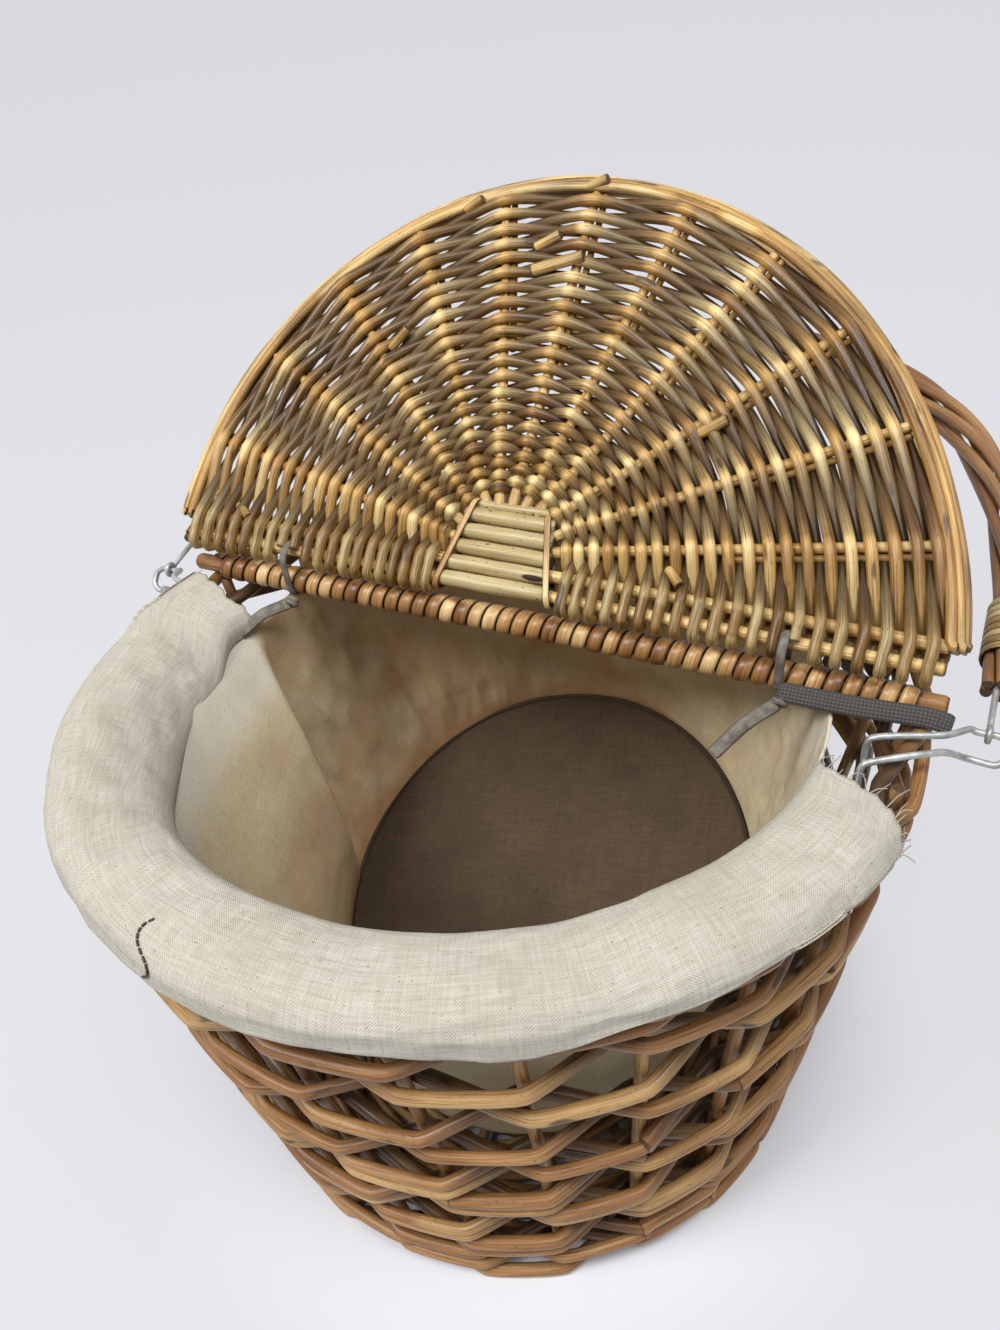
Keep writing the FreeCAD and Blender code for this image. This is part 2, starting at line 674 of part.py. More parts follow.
wraps, eyes = [], []
wrap_inner = size("handle_end_lay_radius") + size("handle_end_rod_radius") + size("weave_clearance") * 2
lay_chord = math.cos(math.pi * HANDLE_TWISTS / HANDLE_STEPS)
tang_radius = (size("handle_end_lay_radius") * lay_chord - size("weave_clearance")
               - size("handle_end_rod_radius") * math.cos(math.pi / ROD_SIDES))
tang_from = size("handle_start") - tang_radius
to_arch = FreeCAD.Rotation(Vector(1, 0, 0), handle_up)
for side in (-1, 1):
    foot_of_wrap = pivot + Vector(side * size("handle_half_span"), 0, 0)
    strip = winding("handle_wraps", size("wrap_start"), size("wrap_start") + size("wrap_length"),
                    0, 0, wrap_inner, size("wrap_thickness"), size("wrap_width"), WRAP_TURNS)
    strip.Placement = FreeCAD.Placement(foot_of_wrap, to_arch)
    wraps.append(strip)
    flat = math.cos(math.pi / TURN_SIDES)
    eye_ring = ((size("wire_radius") + size("running_clearance")) / math.cos(math.pi / EYE_STEPS)
                + size("eye_wire_radius") * flat)
    rays = [FreeCAD.Rotation(Vector(1, 0, 0), 360 * index / EYE_STEPS).multVec(handle_up)
            for index in range(EYE_STEPS)]
    eye = rod([foot_of_wrap + ray * eye_ring for ray in rays], rays, size("eye_wire_radius"),
              TURN_SIDES, closed=True)
    shank_top = size("handle_start") + size("eye_tang")
    shank = rod([foot_of_wrap + handle_up * eye_ring, foot_of_wrap + handle_up * tang_from,
                 foot_of_wrap + handle_up * (tang_from + tang_radius), foot_of_wrap + handle_up * shank_top],
                [handle_face] * 4, [size("eye_wire_radius") * flat] * 2 + [tang_radius] * 2, TURN_SIDES)
    eyes.append(eye.fuse(shank).Solids[0])
add_shape("handle_wraps", wraps)
add_shape("handle_eyes", eyes)

# Staples: wire hairpins over the rim whose outer bends carry the handle's eyes
staples = []
for side in (-1, 1):
    out = size("handle_half_span")
    wire = size("wire_radius")
    over_rim = size("wall_height") + wire + size("weave_clearance")
    spread = size("staple_spread") / math.sqrt(2)
    inside = size("mouth_half_width") - size("staple_inset")
    back, level = size("bar_back"), size("pivot_level")
    route = ((inside, back - spread * 3.0, over_rim - spread * 1.8),
             (inside + wire, back - spread * 3.0, over_rim),
             (out - spread * 2, back - spread * 1.8, over_rim),
             (out - spread * 0.9, back - wire / 2, level + wire),
             (out - spread * 0.5, back, level), (out + spread * 0.5, back, level),
             (out + spread * 0.95, back - spread * 0.25, level - spread * 0.25),
             (out + spread * 0.95, back - spread * 0.75, level - spread * 0.75),
             (out + spread * 0.5, back - spread, level - spread),
             (out - spread * 0.9, back - spread, level - spread * 0.9),
             (out - spread * 2, back - spread * 3.0, over_rim),
             (inside + wire, back - spread * 4.8, over_rim),
             (inside, back - spread * 4.8, over_rim - spread * 1.8))
    points = [Vector(side * x, y, z) for x, y, z in route]
    staples.append(rod(points, [Vector(side * 0.2, -1, 0.9)] * len(points), wire, TURN_SIDES))
add_shape("wall_staples", staples)

# Check every piece, then write it
doc.recompute()
NODES = ("wall_stakes", "foot_wale", "wall_weave", "rim_wale", "base_sticks_across", "base_sticks_along",
         "base_spokes", "base_weave", "liner_bag", "liner_bottom", "front_cuff", "rear_cuff", "cross_bar",
         "bar_skein", "lid_edge_sticks", "slath_sticks", "slath_bindings", "lid_edge_bindings",
         "lid_stakes", "lid_weave", "lid_border", "thong_loops", "thong_knots", "thong_tails",
         "braided_strap", "handle_rods", "handle_wraps", "handle_eyes", "wall_staples")
for item in doc.Objects:
    if "Invalid" in item.State or "Error" in item.State:
        raise RuntimeError(f"{item.Label} did not compute")
for label in NODES:
    shape = doc.getObjectsByLabel(label)[0].Shape
    if shape.isNull() or not shape.isValid():
        raise RuntimeError(f"{label} is not a valid shape")
    print(label, len(shape.Solids), "solids", round(shape.Volume / 1000, 1), "cm3")
    shape.exportStep(f"parts/{label}.step")
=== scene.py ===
# %% [markdown]
# # A wicker fishing creel
# The object is a lopsided round basket of willow rods. A linen liner is folded out over
# its rim, a wrapped bar crosses its mouth, and a D-shaped lid, woven on a fan of sticks,
# leans back behind that bar. A twisted handle hangs behind the lid. Each cell below makes
# one of these pieces where its plain solid already is, so nothing here needs fitting.

# %% Load the fixed frame
import math
import random
import bpy
import numpy as np
from mathutils import Matrix, Vector, noise


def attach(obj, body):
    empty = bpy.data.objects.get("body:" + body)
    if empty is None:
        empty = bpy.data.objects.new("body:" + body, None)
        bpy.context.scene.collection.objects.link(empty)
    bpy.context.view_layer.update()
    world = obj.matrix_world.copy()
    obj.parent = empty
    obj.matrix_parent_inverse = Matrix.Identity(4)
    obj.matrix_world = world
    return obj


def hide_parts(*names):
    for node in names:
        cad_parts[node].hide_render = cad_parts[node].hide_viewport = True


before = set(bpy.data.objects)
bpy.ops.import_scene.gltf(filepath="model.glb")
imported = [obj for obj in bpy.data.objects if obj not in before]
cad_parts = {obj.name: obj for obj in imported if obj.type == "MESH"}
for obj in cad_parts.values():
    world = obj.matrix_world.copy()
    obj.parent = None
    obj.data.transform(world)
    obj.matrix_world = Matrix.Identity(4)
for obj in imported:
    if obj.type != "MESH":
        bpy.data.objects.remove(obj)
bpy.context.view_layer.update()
chance = random.Random(7)

# %% [markdown]
# Basket makers think in a few sizes: how wide the mouth is, how far it leans, how thick the
# rods are. The same sizes drive every curve here. They are in millimetres, and each mesh is
# scaled to metres once, when it is made. One function finds places on the wall, and another
# finds them on the open lid, so every piece is laid out on the surface that carries it.

# %% Sizes of the basket
MM = 0.001
WALL = dict(wide=180.0, deep=165.0, foot=142.0, lean=19.0, high=252.0)
STAKES = 24
HINGE_Y, HINGE_Z, BAR_Z = 45.7, 270.0, 255.8
OPEN = math.radians(35.2)
LID = dict(wide=190.0, deep=217.5, lean=-18.5, fan_x=-15.0, fan_up=20.0)
LID_FACE = np.array([0, -math.sin(OPEN), math.cos(OPEN)])
FAN = 12


def wall_at(angle, level, out=0.0):
    """Places on the wall, pushed out square to its plan; angle and level may be arrays."""
    angle, level, out = np.broadcast_arrays(*map(np.asarray, (angle, level, out)))
    share = level / WALL["high"]
    across = WALL["foot"] + (WALL["wide"] - WALL["foot"]) * share
    deep = WALL["foot"] + (WALL["deep"] - WALL["foot"]) * share
    lean = WALL["lean"] * share
    cosine, sine = np.cos(angle), np.sin(angle)
    run = np.stack([lean * cosine - across * sine, deep * cosine], -1)
    run /= np.linalg.norm(run, axis=-1, keepdims=True)
    return np.stack([across * cosine + lean * sine + out * run[..., 1],
                     deep * sine - out * run[..., 0], level + 0.0 * out], -1)


def lid_at(along, up, out=0.0):
    """Places on the open lid: along its straight edge, up its face, and out of its face."""
    along, up, out = np.broadcast_arrays(*map(np.asarray, (along, up, out)))
    return np.stack([along + 0.0 * up, HINGE_Y + up * math.cos(OPEN) - out * math.sin(OPEN),
                     HINGE_Z + up * math.sin(OPEN) + out * math.cos(OPEN)], -1)


print("mouth half width", WALL["wide"], "mm, half depth", WALL["deep"], "mm")

# %% [markdown]
# A willow rod bends smoothly round what it passes. So its middle line is a curve through a
# few places, each joined to the next by a cubic. How hard the curve pulls at each place
# makes it round, as a thong is, or nearly straight between bends, as a stiff rod is.

# %% Smooth curves
def unit(vectors):
    return vectors / np.maximum(np.linalg.norm(vectors, axis=-1, keepdims=True), 1e-9)


def smooth(points, fine, closed=False, pull=0.42):
    """A curve through the points; pull near a half is round, near zero is straight."""
    points = np.asarray(points, float)
    if closed:
        before, after, last = np.roll(points, 1, 0), np.roll(points, -1, 0), len(points)
    else:
        before = np.vstack([points[:1], points[:-1]])
        after = np.vstack([points[1:], points[-1:]])
        last = len(points) - 1
    lead = (after - before) * pull
    step = np.linspace(0, 1, fine, endpoint=False)[:, None]
    parts = []
    for i in range(last):
        j = (i + 1) % len(points)
        a, b, c, d = points[i], points[j], lead[i], lead[j]
        parts.append((2 * step**3 - 3 * step**2 + 1) * a + (step**3 - 2 * step**2 + step) * c
                     + (3 * step**2 - 2 * step**3) * b + (step**3 - step**2) * d)
    if not closed:
        parts.append(points[-1:])
    return np.vstack(parts)


def between(values, fine, count):
    """Values given at a curve's few places, read off at each of its fine steps."""
    return np.interp(np.arange(count) / fine, np.arange(len(values)), values)


print("a curve through 3 places:", len(smooth([(0, 0, 0), (1, 0, 0), (2, 1, 0)], 6)), "points")

# %% [markdown]
# A rod is a round stick that swells and shrinks a little along its length. Each one keeps
# its thickness, how light it is and how deep it lies at every step. No two willow rods are
# alike, so most of these wander by chance, from one seed that gives the same basket again.

# %% Rods
def ring_frames(path, closed):
    """Two directions square to the path that turn as little as possible along it."""
    ahead = np.roll(path, -1, 0) - np.roll(path, 1, 0)
    if not closed:
        ahead[0], ahead[-1] = path[1] - path[0], path[-1] - path[-2]
    ahead = unit(ahead)
    up = np.zeros_like(path)
    start = np.array([0.0, 0.0, 1.0]) if abs(ahead[0, 2]) < 0.8 else np.array([0.0, 1.0, 0.0])
    up[0] = unit(start - ahead[0] * (start @ ahead[0]))
    for i in range(1, len(path)):
        up[i] = unit(up[i - 1] - ahead[i] * (up[i - 1] @ ahead[i]))
    return up, np.cross(ahead, up)


def rod(path, radius, tone=None, closed=False, deep=0.0, flat=1.0, sides=10, up=None, face=None):
    """One rod's facts, ready to be joined with others into a mesh.

    Where face is given, the rod's painted shade with depth lies only on the side that looks that
    way.
    """
    path = np.asarray(path, float)
    tone = chance.random() if tone is None else tone
    radius, tone, deep = (np.broadcast_to(np.asarray(v, float), len(path))
                          for v in (radius, tone, deep))
    return dict(path=path, radius=radius, tone=tone, deep=deep, closed=closed, flat=flat,
                sides=sides, up=up, face=face)


def wander(count, size, wave=7.0):
    """A slow random drift along a rod, so that no rod is straight or even."""
    phase = [chance.uniform(0, math.tau) for _ in range(3)]
    t = np.arange(count) / wave
    return size * (np.sin(t + phase[0]) + 0.6 * np.sin(2.3 * t + phase[1])
                   + 0.4 * np.sin(5.1 * t + phase[2]))


def patched(count, pieces):
    """Lightness that changes here and there, as where one rod is spliced to the next."""
    cuts = sorted(chance.randrange(count) for _ in range(pieces - 1))
    return np.concatenate([np.full(b - a, chance.random())
                           for a, b in zip([0, *cuts], [*cuts, count])])


print("a rod keeps:", ", ".join(rod([(0, 0, 0), (1, 0, 0)], 1.0, 0.5)))

# %% [markdown]
# Every piece is made in the same way in the end: a mesh gets its corners, its faces and the
# facts that its finish reads, and is told which part of the basket it moves with and which
# plain solids it stands for. Facts are kept as attributes, one value on each corner.

# %% One piece from a mesh
def make_piece(name, corners, faces, facts, finish, body, stands_for):
    """A mesh that keeps facts on its corners, rides on a body and stands for plain solids."""
    mesh = bpy.data.meshes.new(name)
    mesh.from_pydata((corners * MM).tolist(), [], faces)
    mesh.shade_smooth()
    for label, values in facts.items():
        kind, field = ("FLOAT_VECTOR", "vector") if values.ndim == 2 else ("FLOAT", "value")
        layer = mesh.attributes.new(label, kind, "POINT")
        layer.data.foreach_set(field, values.astype(np.float32).ravel())
    mesh.materials.append(finish)
    piece = bpy.data.objects.new(name, mesh)
    bpy.context.scene.collection.objects.link(piece)
    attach(piece, body)
    if stands_for:
        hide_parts(*stands_for)
    return piece


# %% [markdown]
# A curve with a bevel would also give a rod, but it keeps no facts for the finish. A sweep
# in plain mesh code keeps three on each corner: grain, which says where the corner is along
# and round the rod, tone, which says how light the rod is, and deep, which says how far it
# lies behind others and which the finish shows as grime and painted shade. A cut end gets one
# more, smaller ring, so that it looks rounded off.

# %% Rods joined into a mesh
ROUND_SHARE = 0.16
END_BULGE, END_TAPER, END_DARK = 0.35, 0.82, 0.8


def sweep(item):
    """The corners of one rod, ring after ring, and the three facts on each."""
    path, radius, tone, deep = (item[key] for key in ("path", "radius", "tone", "deep"))
    up, side = ring_frames(path, item["closed"])
    if item["up"] is not None:
        ahead = np.cross(up, side)
        up = unit(item["up"] - ahead * (item["up"] * ahead).sum(-1, keepdims=True))
        side = np.cross(ahead, up)
    if not item["closed"]:
        bulge = unit(path[[1, -1]] - path[[0, -2]]) * (END_BULGE * radius[[0, -1]])[:, None]
        path = np.vstack([path[:1] - bulge[:1], path, path[-1:] + bulge[1:]])
        radius = np.concatenate([radius[:1] * END_TAPER, radius, radius[-1:] * END_TAPER])
        up, side = (np.vstack([v[:1], v, v[-1:]]) for v in (up, side))
        deep = np.concatenate([[END_DARK], deep, [END_DARK]])
        tone = np.concatenate([tone[:1], tone, tone[-1:]])
    turn = np.linspace(0, math.tau, item["sides"], endpoint=False)
    ring = (np.cos(turn)[None, :, None] * up[:, None] * item["flat"]
            + np.sin(turn)[None, :, None] * side[:, None])
    corners = (path[:, None] + ring * radius[:, None, None]).reshape(-1, 3)
    length = np.concatenate([[0], np.cumsum(np.linalg.norm(np.diff(path, axis=0), axis=1))])
    grain = np.stack(np.broadcast_arrays(length[:, None] * MM + chance.uniform(0, 50),
                                         np.cos(turn) * ROUND_SHARE,
                                         np.sin(turn) * ROUND_SHARE), -1).reshape(-1, 3)
    # Painted shade with depth is kept to the side of the rod that looks toward face.
    painted_shade_side = 1.0 if item["face"] is None else np.clip(0.6 + 1.4 * ring @ item["face"], 0, 1)
    deep = (deep[:, None] * painted_shade_side * np.ones(item["sides"])).ravel()
    return corners, grain, np.repeat(tone, item["sides"]), deep


def weave_mesh(name, rods, finish, body, stands_for):
    """Joins rods into one mesh that rides on a body and stands for its plain solids."""
    parts, faces, cut_ends = [], [], []
    base = 0
    for item in rods:
        parts.append(sweep(item))
        sides, size = item["sides"], len(parts[-1][0])
        starts = np.arange(0, size if item["closed"] else size - sides, sides)[:, None]
        nexts = (starts + sides) % size
        k = np.arange(sides)[None]
        n = (k + 1) % sides
        quads = np.stack([starts + k, starts + n, nexts + n, nexts + k], -1)
        faces.extend((quads.reshape(-1, 4) + base).tolist())
        if not item["closed"]:
            cut_ends.extend([len(faces), len(faces) + 1])
            faces.append((base + np.arange(sides)[::-1]).tolist())
            faces.append((base + size - sides + np.arange(sides)).tolist())
        base += size
    corners, grain, tone, deep = (np.concatenate(kind) for kind in zip(*parts))
    piece = make_piece(name, corners, faces, dict(grain=grain, tone=tone, deep=deep),
                       finish, body, stands_for)
    for index in cut_ends:
        piece.data.polygons[index].use_smooth = False
    print(f"{name}: {len(rods)} rods, {len(faces)} faces")


print("a cut end bulges by", END_BULGE, "of the rod's radius")

# %% [markdown]
# A finish is worked out with a lot of small sums on what the surface knows. Written as
# nodes one by one these are hard to read, so a small class wraps a node's output and lets
# plain Python signs add the Math nodes behind it. The reflected forms let a plain number
# stand first, as in 1 - streak.

# %% Sums on sockets
class Value:
    """An output socket that plain Python signs can work on."""

    def __init__(self, finish, socket):
        self.finish, self.socket = finish, socket

    def _with(self, operation, *terms):
        return self.finish.node("ShaderNodeMath", dict(operation=operation),
                                dict(enumerate(terms)))

    def __add__(self, other):
        return self._with("ADD", self, other)

    __radd__ = __add__

    def __sub__(self, other):
        return self._with("SUBTRACT", self, other)

    def __rsub__(self, other):
        return self._with("SUBTRACT", other, self)

    def __mul__(self, other):
        return self._with("MULTIPLY", self, other)

    __rmul__ = __mul__

    def sine(self):
        return self._with("SINE", self)

    def over(self, low, high):
        """Nought below low, one above high, and smooth between."""
        return self.finish.node("ShaderNodeMapRange", dict(interpolation_type="SMOOTHSTEP"),
                                {"Value": self, "From Min": low, "From Max": high})


print("signs that work on a socket: + - *")

# %% [markdown]
# A second class holds the material itself. It has one method that adds any node, with its
# settings first and then what feeds its sockets, and short names for the nodes that the
# finishes below need again and again. The sky has nodes too, so it can be held the same way.

# %% A finish and its nodes
class Finish:
    """A new material, or the sky, whose nodes are added by the sums that need them."""

    def __init__(self, owner, shader="Principled BSDF"):
        self.owner = owner
        owner.use_nodes = True
        self.nodes, self.links = owner.node_tree.nodes, owner.node_tree.links
        self.shader = self.nodes[shader]

    def node(self, kind, settings=None, inputs=None, output=0):
        made = self.nodes.new(kind)
        for key, value in (settings or {}).items():
            if key == "stops":
                ramp = made.color_ramp
                while len(ramp.elements) < len(value):
                    ramp.elements.new(0.5)
                for element, (place, colour) in zip(ramp.elements, value):
                    element.position, element.color = place, (*colour, 1)
            else:
                setattr(made, key, value)
        for key, value in (inputs or {}).items():
            self.feed(made.inputs[key], value)
        return Value(self, made.outputs[output])

    def feed(self, socket, value):
        if isinstance(value, Value):
            self.links.new(value.socket, socket)
        elif isinstance(value, tuple) and len(value) == 3 and socket.type == "RGBA":
            socket.default_value = (*value, 1)
        else:
            socket.default_value = value

    def fact(self, name, output=2):
        """A fact kept on the mesh: output 1 is its vector, output 2 its number."""
        return self.node("ShaderNodeAttribute", dict(attribute_name=name), output=output)

    def blend(self, amount, a, b):
        return self.node("ShaderNodeMix", dict(data_type="RGBA"), {0: amount, 6: a, 7: b}, output=2)

    def stretch(self, vector, scale):
        return self.node("ShaderNodeVectorMath", dict(operation="MULTIPLY"), {0: vector, 1: scale})

    def axis(self, vector, which):
        return self.node("ShaderNodeSeparateXYZ", {}, {0: vector}, which)

    def noise(self, vector, scale, detail=3.0, rough=0.55):
        return self.node("ShaderNodeTexNoise", {}, {"Vector": vector, "Scale": scale,
                                                    "Detail": detail, "Roughness": rough})

    def bump(self, strength, distance, height):
        return self.node("ShaderNodeBump", {}, {"Strength": strength, "Distance": distance,
                                                "Height": height})

    def finish(self, **sockets):
        for key, value in sockets.items():
            self.feed(self.shader.inputs[key.replace("_", " ")], value)
        return self.owner


def srgb(red, green, blue):
    """A colour as picked from a screen, turned into the light values that a shader wants."""
    return tuple(c / 12.92 if c <= 0.04045 else ((c + 0.055) / 1.055) ** 2.4
                 for c in (v / 255 for v in (red, green, blue)))


print("straw on the screen", (208, 170, 112), "is", [round(v, 3) for v in srgb(208, 170, 112)])

# %% [markdown]
# Peeled willow is satin and straw to brown, with faint streaks along the rod, a few dark
# knots, and brown grime with painted shade where rods cross. Streaks come from noise stretched
# along the rod, knots from the rare peaks of a coarser noise, and the grime and painted shade
# from how deep a corner lies.

# %% Willow finishes
GRIME_AND_SHADE, KNOT_BROWN = srgb(46, 25, 10), srgb(44, 27, 15)


def willow(name, dark, middle, light, gloss=0.42, knots=1.0, strip=False, shade_and_dirt=GRIME_AND_SHADE):
    """A rod's finish; a strip is a flat skein, which gets painted shade along its two edges."""
    f = Finish(bpy.data.materials.new(name))
    grain, tone, deep = f.fact("grain", 1), f.fact("tone"), f.fact("deep")
    streak = f.noise(f.stretch(grain, (9.0, 7.0, 7.0)), 4.0, 4.0, 0.62)
    fine = f.noise(f.stretch(grain, (70.0, 16.0, 16.0)), 3.0, 3.0, 0.6)
    slow = f.noise(f.stretch(grain, (14.0, 1.5, 1.5)), 1.0, 2.0, 0.5)
    lightness = tone * 0.5 + streak * 0.85 + slow * 0.85 - 0.63
    colour = f.node("ShaderNodeValToRGB", dict(stops=[(0.05, dark), (0.42, middle), (0.85, light)]),
                    {0: lightness})
    knot = f.noise(f.stretch(grain, (38.0, 2.6, 2.6)), 1.0, 1.0, 0.4).over(0.69, 0.75) * knots
    speck = f.noise(f.stretch(grain, (420.0, 22.0, 22.0)), 1.0, 1.0, 0.4).over(0.70, 0.76) * knots
    # Partly real grime, partly painted shade: corners that lie deep behind other rods are darkened
    # toward the shade colour.
    grime_and_shade = deep * 1.05 + fine.over(0.55, 0.8) * 0.24 + (1 - streak).over(0.5, 0.72) * 0.3
    if strip:
        # Painted shade along both edges of a flat skein, where one turn meets the next.
        facing = f.axis(grain, 1) * (1 / ROUND_SHARE)
        grime_and_shade = grime_and_shade + (1 - facing).over(0.35, 0.95) * 0.95
    colour = f.blend(grime_and_shade.over(0.0, 1.0) * 0.93, colour, shade_and_dirt)
    colour = f.blend((knot + speck * 0.8) * 0.75, colour, KNOT_BROWN)
    relief = f.bump(0.35, 0.0006, streak * 0.5 + fine * 0.35 - knot * 0.6)
    return f.finish(Base_Color=colour, Roughness=gloss + fine * 0.2 - streak * 0.12,
                    Normal=relief, Coat_Weight=0.14, Coat_Roughness=0.25, Specular_IOR_Level=0.34)


peeled = willow("peeled_willow", srgb(104, 62, 32), srgb(158, 112, 66), srgb(208, 170, 112))
# The lid's rods darken toward a deeper brown, for stronger painted shade in the gaps of the lid.
lid_rods = willow("lid_willow", srgb(100, 60, 22), srgb(186, 143, 77), srgb(244, 217, 154),
                  gloss=0.34, shade_and_dirt=srgb(36, 17, 5))
pale = willow("pale_willow", srgb(106, 80, 44), srgb(160, 138, 92), srgb(198, 182, 138),
              gloss=0.4, knots=1.5)
brown = willow("brown_willow", srgb(88, 50, 28), srgb(138, 94, 58), srgb(188, 146, 98),
               gloss=0.38, knots=0.5)
pale_skein = willow("pale_skein", srgb(146, 116, 68), srgb(196, 170, 116), srgb(226, 206, 156),
                    gloss=0.34, knots=0.4, strip=True)
skein = willow("split_skein", srgb(92, 54, 26), srgb(162, 118, 68), srgb(232, 202, 148),
               gloss=0.32, knots=0.3, strip=True)
print("willow finishes:", [m.name for m in (peeled, lid_rods, pale, brown, pale_skein, skein)])

# %% [markdown]
# The liner is coarse undyed linen. Its threads cross about every millimetre, some are
# thicker, and dark flecks of husk sit in them. Two fine waves, one each way on the cloth's
# own measure, make the threads, and noise along each thread keeps them from looking printed.
# Here the fact called deep darkens the cloth above nought, with stains and painted shade, and
# whitens it below nought, with bleach and painted light.

# %% Linen finishes
THREAD_WAVE = 5200
BLEACH_AND_PAINTED_LIGHT, HUSK = srgb(211, 205, 190), srgb(112, 92, 64)


def linen(name, ground, shade, soil_and_painted_light):
    """Woven cloth: its ground colour, the shade between its threads, and the colour of its stains
    and painted shade.
    """
    f = Finish(bpy.data.materials.new(name))
    cloth, deep = f.fact("grain", 1), f.fact("deep")
    wide = f.axis(cloth, 0)
    high = f.axis(cloth, 1)
    uneven = f.noise(cloth, 160.0, 2.0)
    across = (wide * THREAD_WAVE + uneven * 5.0).sine()
    upward = (high * THREAD_WAVE + uneven * 5.0).sine()
    weft = f.noise(f.stretch(cloth, (60.0, 900.0, 1.0)), 1.0, 2.0)
    warp = f.noise(f.stretch(cloth, (900.0, 60.0, 1.0)), 1.0, 2.0)
    threads = across * upward * 0.3 + weft * 0.7 + warp * 0.6
    patch = f.noise(cloth, 16.0, 4.0, 0.6)
    fleck = f.noise(f.stretch(cloth, (420.0, 900.0, 1.0)), 1.0, 1.0).over(0.68, 0.76)
    mottle = f.noise(cloth, 55.0, 5.0, 0.7)
    colour = f.blend(threads.over(0.35, 0.95), shade, ground)
    colour = f.blend(patch.over(0.42, 0.75) * 0.35, colour, soil_and_painted_light)
    # Above nought deep darkens toward the stain colour, which also stands for painted shade.
    colour = f.blend((deep + (mottle - 0.5) * deep).over(0.0, 1.0) * 0.86, colour, soil_and_painted_light)
    # Below nought deep whitens the cloth: bleach, and painted light where light falls.
    colour = f.blend((0 - deep).over(0.0, 1.0) * 0.9, colour, BLEACH_AND_PAINTED_LIGHT)
    colour = f.blend(fleck * 0.6, colour, HUSK)
    return f.finish(Base_Color=colour, Roughness=0.92,
                    Normal=f.bump(0.5, 0.0006, threads + patch * 0.4))


outer_linen = linen("cuff_linen", srgb(202, 198, 186), srgb(164, 157, 141), srgb(156, 147, 129))
inner_linen = linen("liner_linen", srgb(216, 202, 167), srgb(190, 174, 138), srgb(184, 138, 94))
floor_linen = linen("liner_floor_linen", srgb(92, 74, 52), srgb(64, 50, 35), srgb(44, 32, 20))
print("linen finishes:", [m.name for m in (outer_linen, inner_linen, floor_linen)])

# %% [markdown]
# Leather, braid and wire need less: one mottled colour and a little relief. The braid gets
# its plaits from two waves that slant against each other along and across the strap.

# %% Leather, braid and wire finishes
PLAIT_WAVE, PLAITS_ACROSS = 2000, 9


def plain(name, colour, dark, rough, metal=0.0, grain=260.0, lay=0.0):
    """A hide, braid or wire finish; lay is how strongly slanting plaits show."""
    f = Finish(bpy.data.materials.new(name))
    where = f.fact("grain", 1)
    mottle = f.noise(f.stretch(where, (1.0, 0.02, 0.02)), grain, 4.0, 0.6)
    height = mottle
    if lay:
        along = f.axis(where, 0)
        across = f.axis(where, 2) * (PLAITS_ACROSS / ROUND_SHARE)
        one = along * PLAIT_WAVE + across
        two = along * PLAIT_WAVE - across
        height = one.sine() * two.sine() * lay + mottle * 0.3
    colour = f.blend(height.over(0.25, 0.75), dark, colour)
    relief = f.bump(0.5, 0.0005, height)
    return f.finish(Base_Color=colour, Roughness=rough + mottle * 0.15, Metallic=metal,
                    Normal=relief)


thong_leather = plain("thong_leather", srgb(124, 117, 106), srgb(78, 72, 64), 0.6)
braid = plain("strap_braid", srgb(86, 82, 79), srgb(56, 53, 52), 0.7, lay=0.9)
wire = plain("galvanised_wire", srgb(196, 198, 194), srgb(140, 142, 138), 0.38, 0.55, 120.0)
print("other finishes:", [m.name for m in (thong_leather, braid, wire)])

# %% [markdown]
# The wall is woven on two dozen upright stakes. Each rod passes outside two stakes and
# inside the third, which is what gives the wall its slanting steps. It is worked with rods
# half as long as the way round, thick at the butt and thin at the tip, so each round is two
# rods here as well, and the tip of one ends behind the stake where the next begins.

# %% One round of the wall
STAKE_R, ROUND_R = 3.4, 3.2
REACH = STAKE_R + ROUND_R + 0.3
WALL_ROD_R, WALL_ROD_TAPER = 3.5, 0.7
WALL_FINE = 8
TIP_DIP = 2.5
stake_angle = [math.tau * i / STAKES for i in range(STAKES)]


def wall_round(number, level, lift, drift):
    """The two rods of one round; lift raises them inside a stake, drift strays by chance."""
    span = np.linalg.norm(wall_at(stake_angle[1], level) - wall_at(stake_angle[0], level))
    off = REACH / math.sqrt(1 - (2 * REACH / span) ** 2)
    jitter = [chance.uniform(-drift, drift) for _ in range(STAKES)]
    begin = chance.randrange(STAKES)
    made = []
    for first in (begin, begin + STAKES // 2):
        last = first + STAKES // 2 + 1
        points, deep = [], []
        for step in range(first, last + 1):
            i = step % STAKES
            inside = (i + number) % 3 == 0
            push = -off if inside else off
            z = level + (lift if inside else 0) + jitter[i] - (TIP_DIP if step == last else 0)
            points.append(wall_at(stake_angle[i], z, push * (0.75 if step == last else 1)))
            # Inside a stake the rod gets painted shade along with grime.
            deep.append(0.85 if inside else 0.1)
        path = smooth(points, WALL_FINE, pull=0.2)
        count = len(path)
        radius = WALL_ROD_R - WALL_ROD_TAPER * np.linspace(0, 1, count) + wander(count, 0.07)
        made.append(rod(path, radius, patched(count, 2),
                        deep=between(deep, WALL_FINE, count) ** 0.7))
    return made


print("a rod of the wall stands", round(REACH, 1), "mm off the middle of its stakes")

# %% [markdown]
# Foot and rim are woven rod on rod, which makes them stiff. Between them eleven rounds stand
# apart, so that the basket is light and its catch gets air. Low down each of these has a
# second round just above it, as in the real basket, and higher up a few have half a round.
# Each kind of round has its own lift, which slants it, and its own drift.

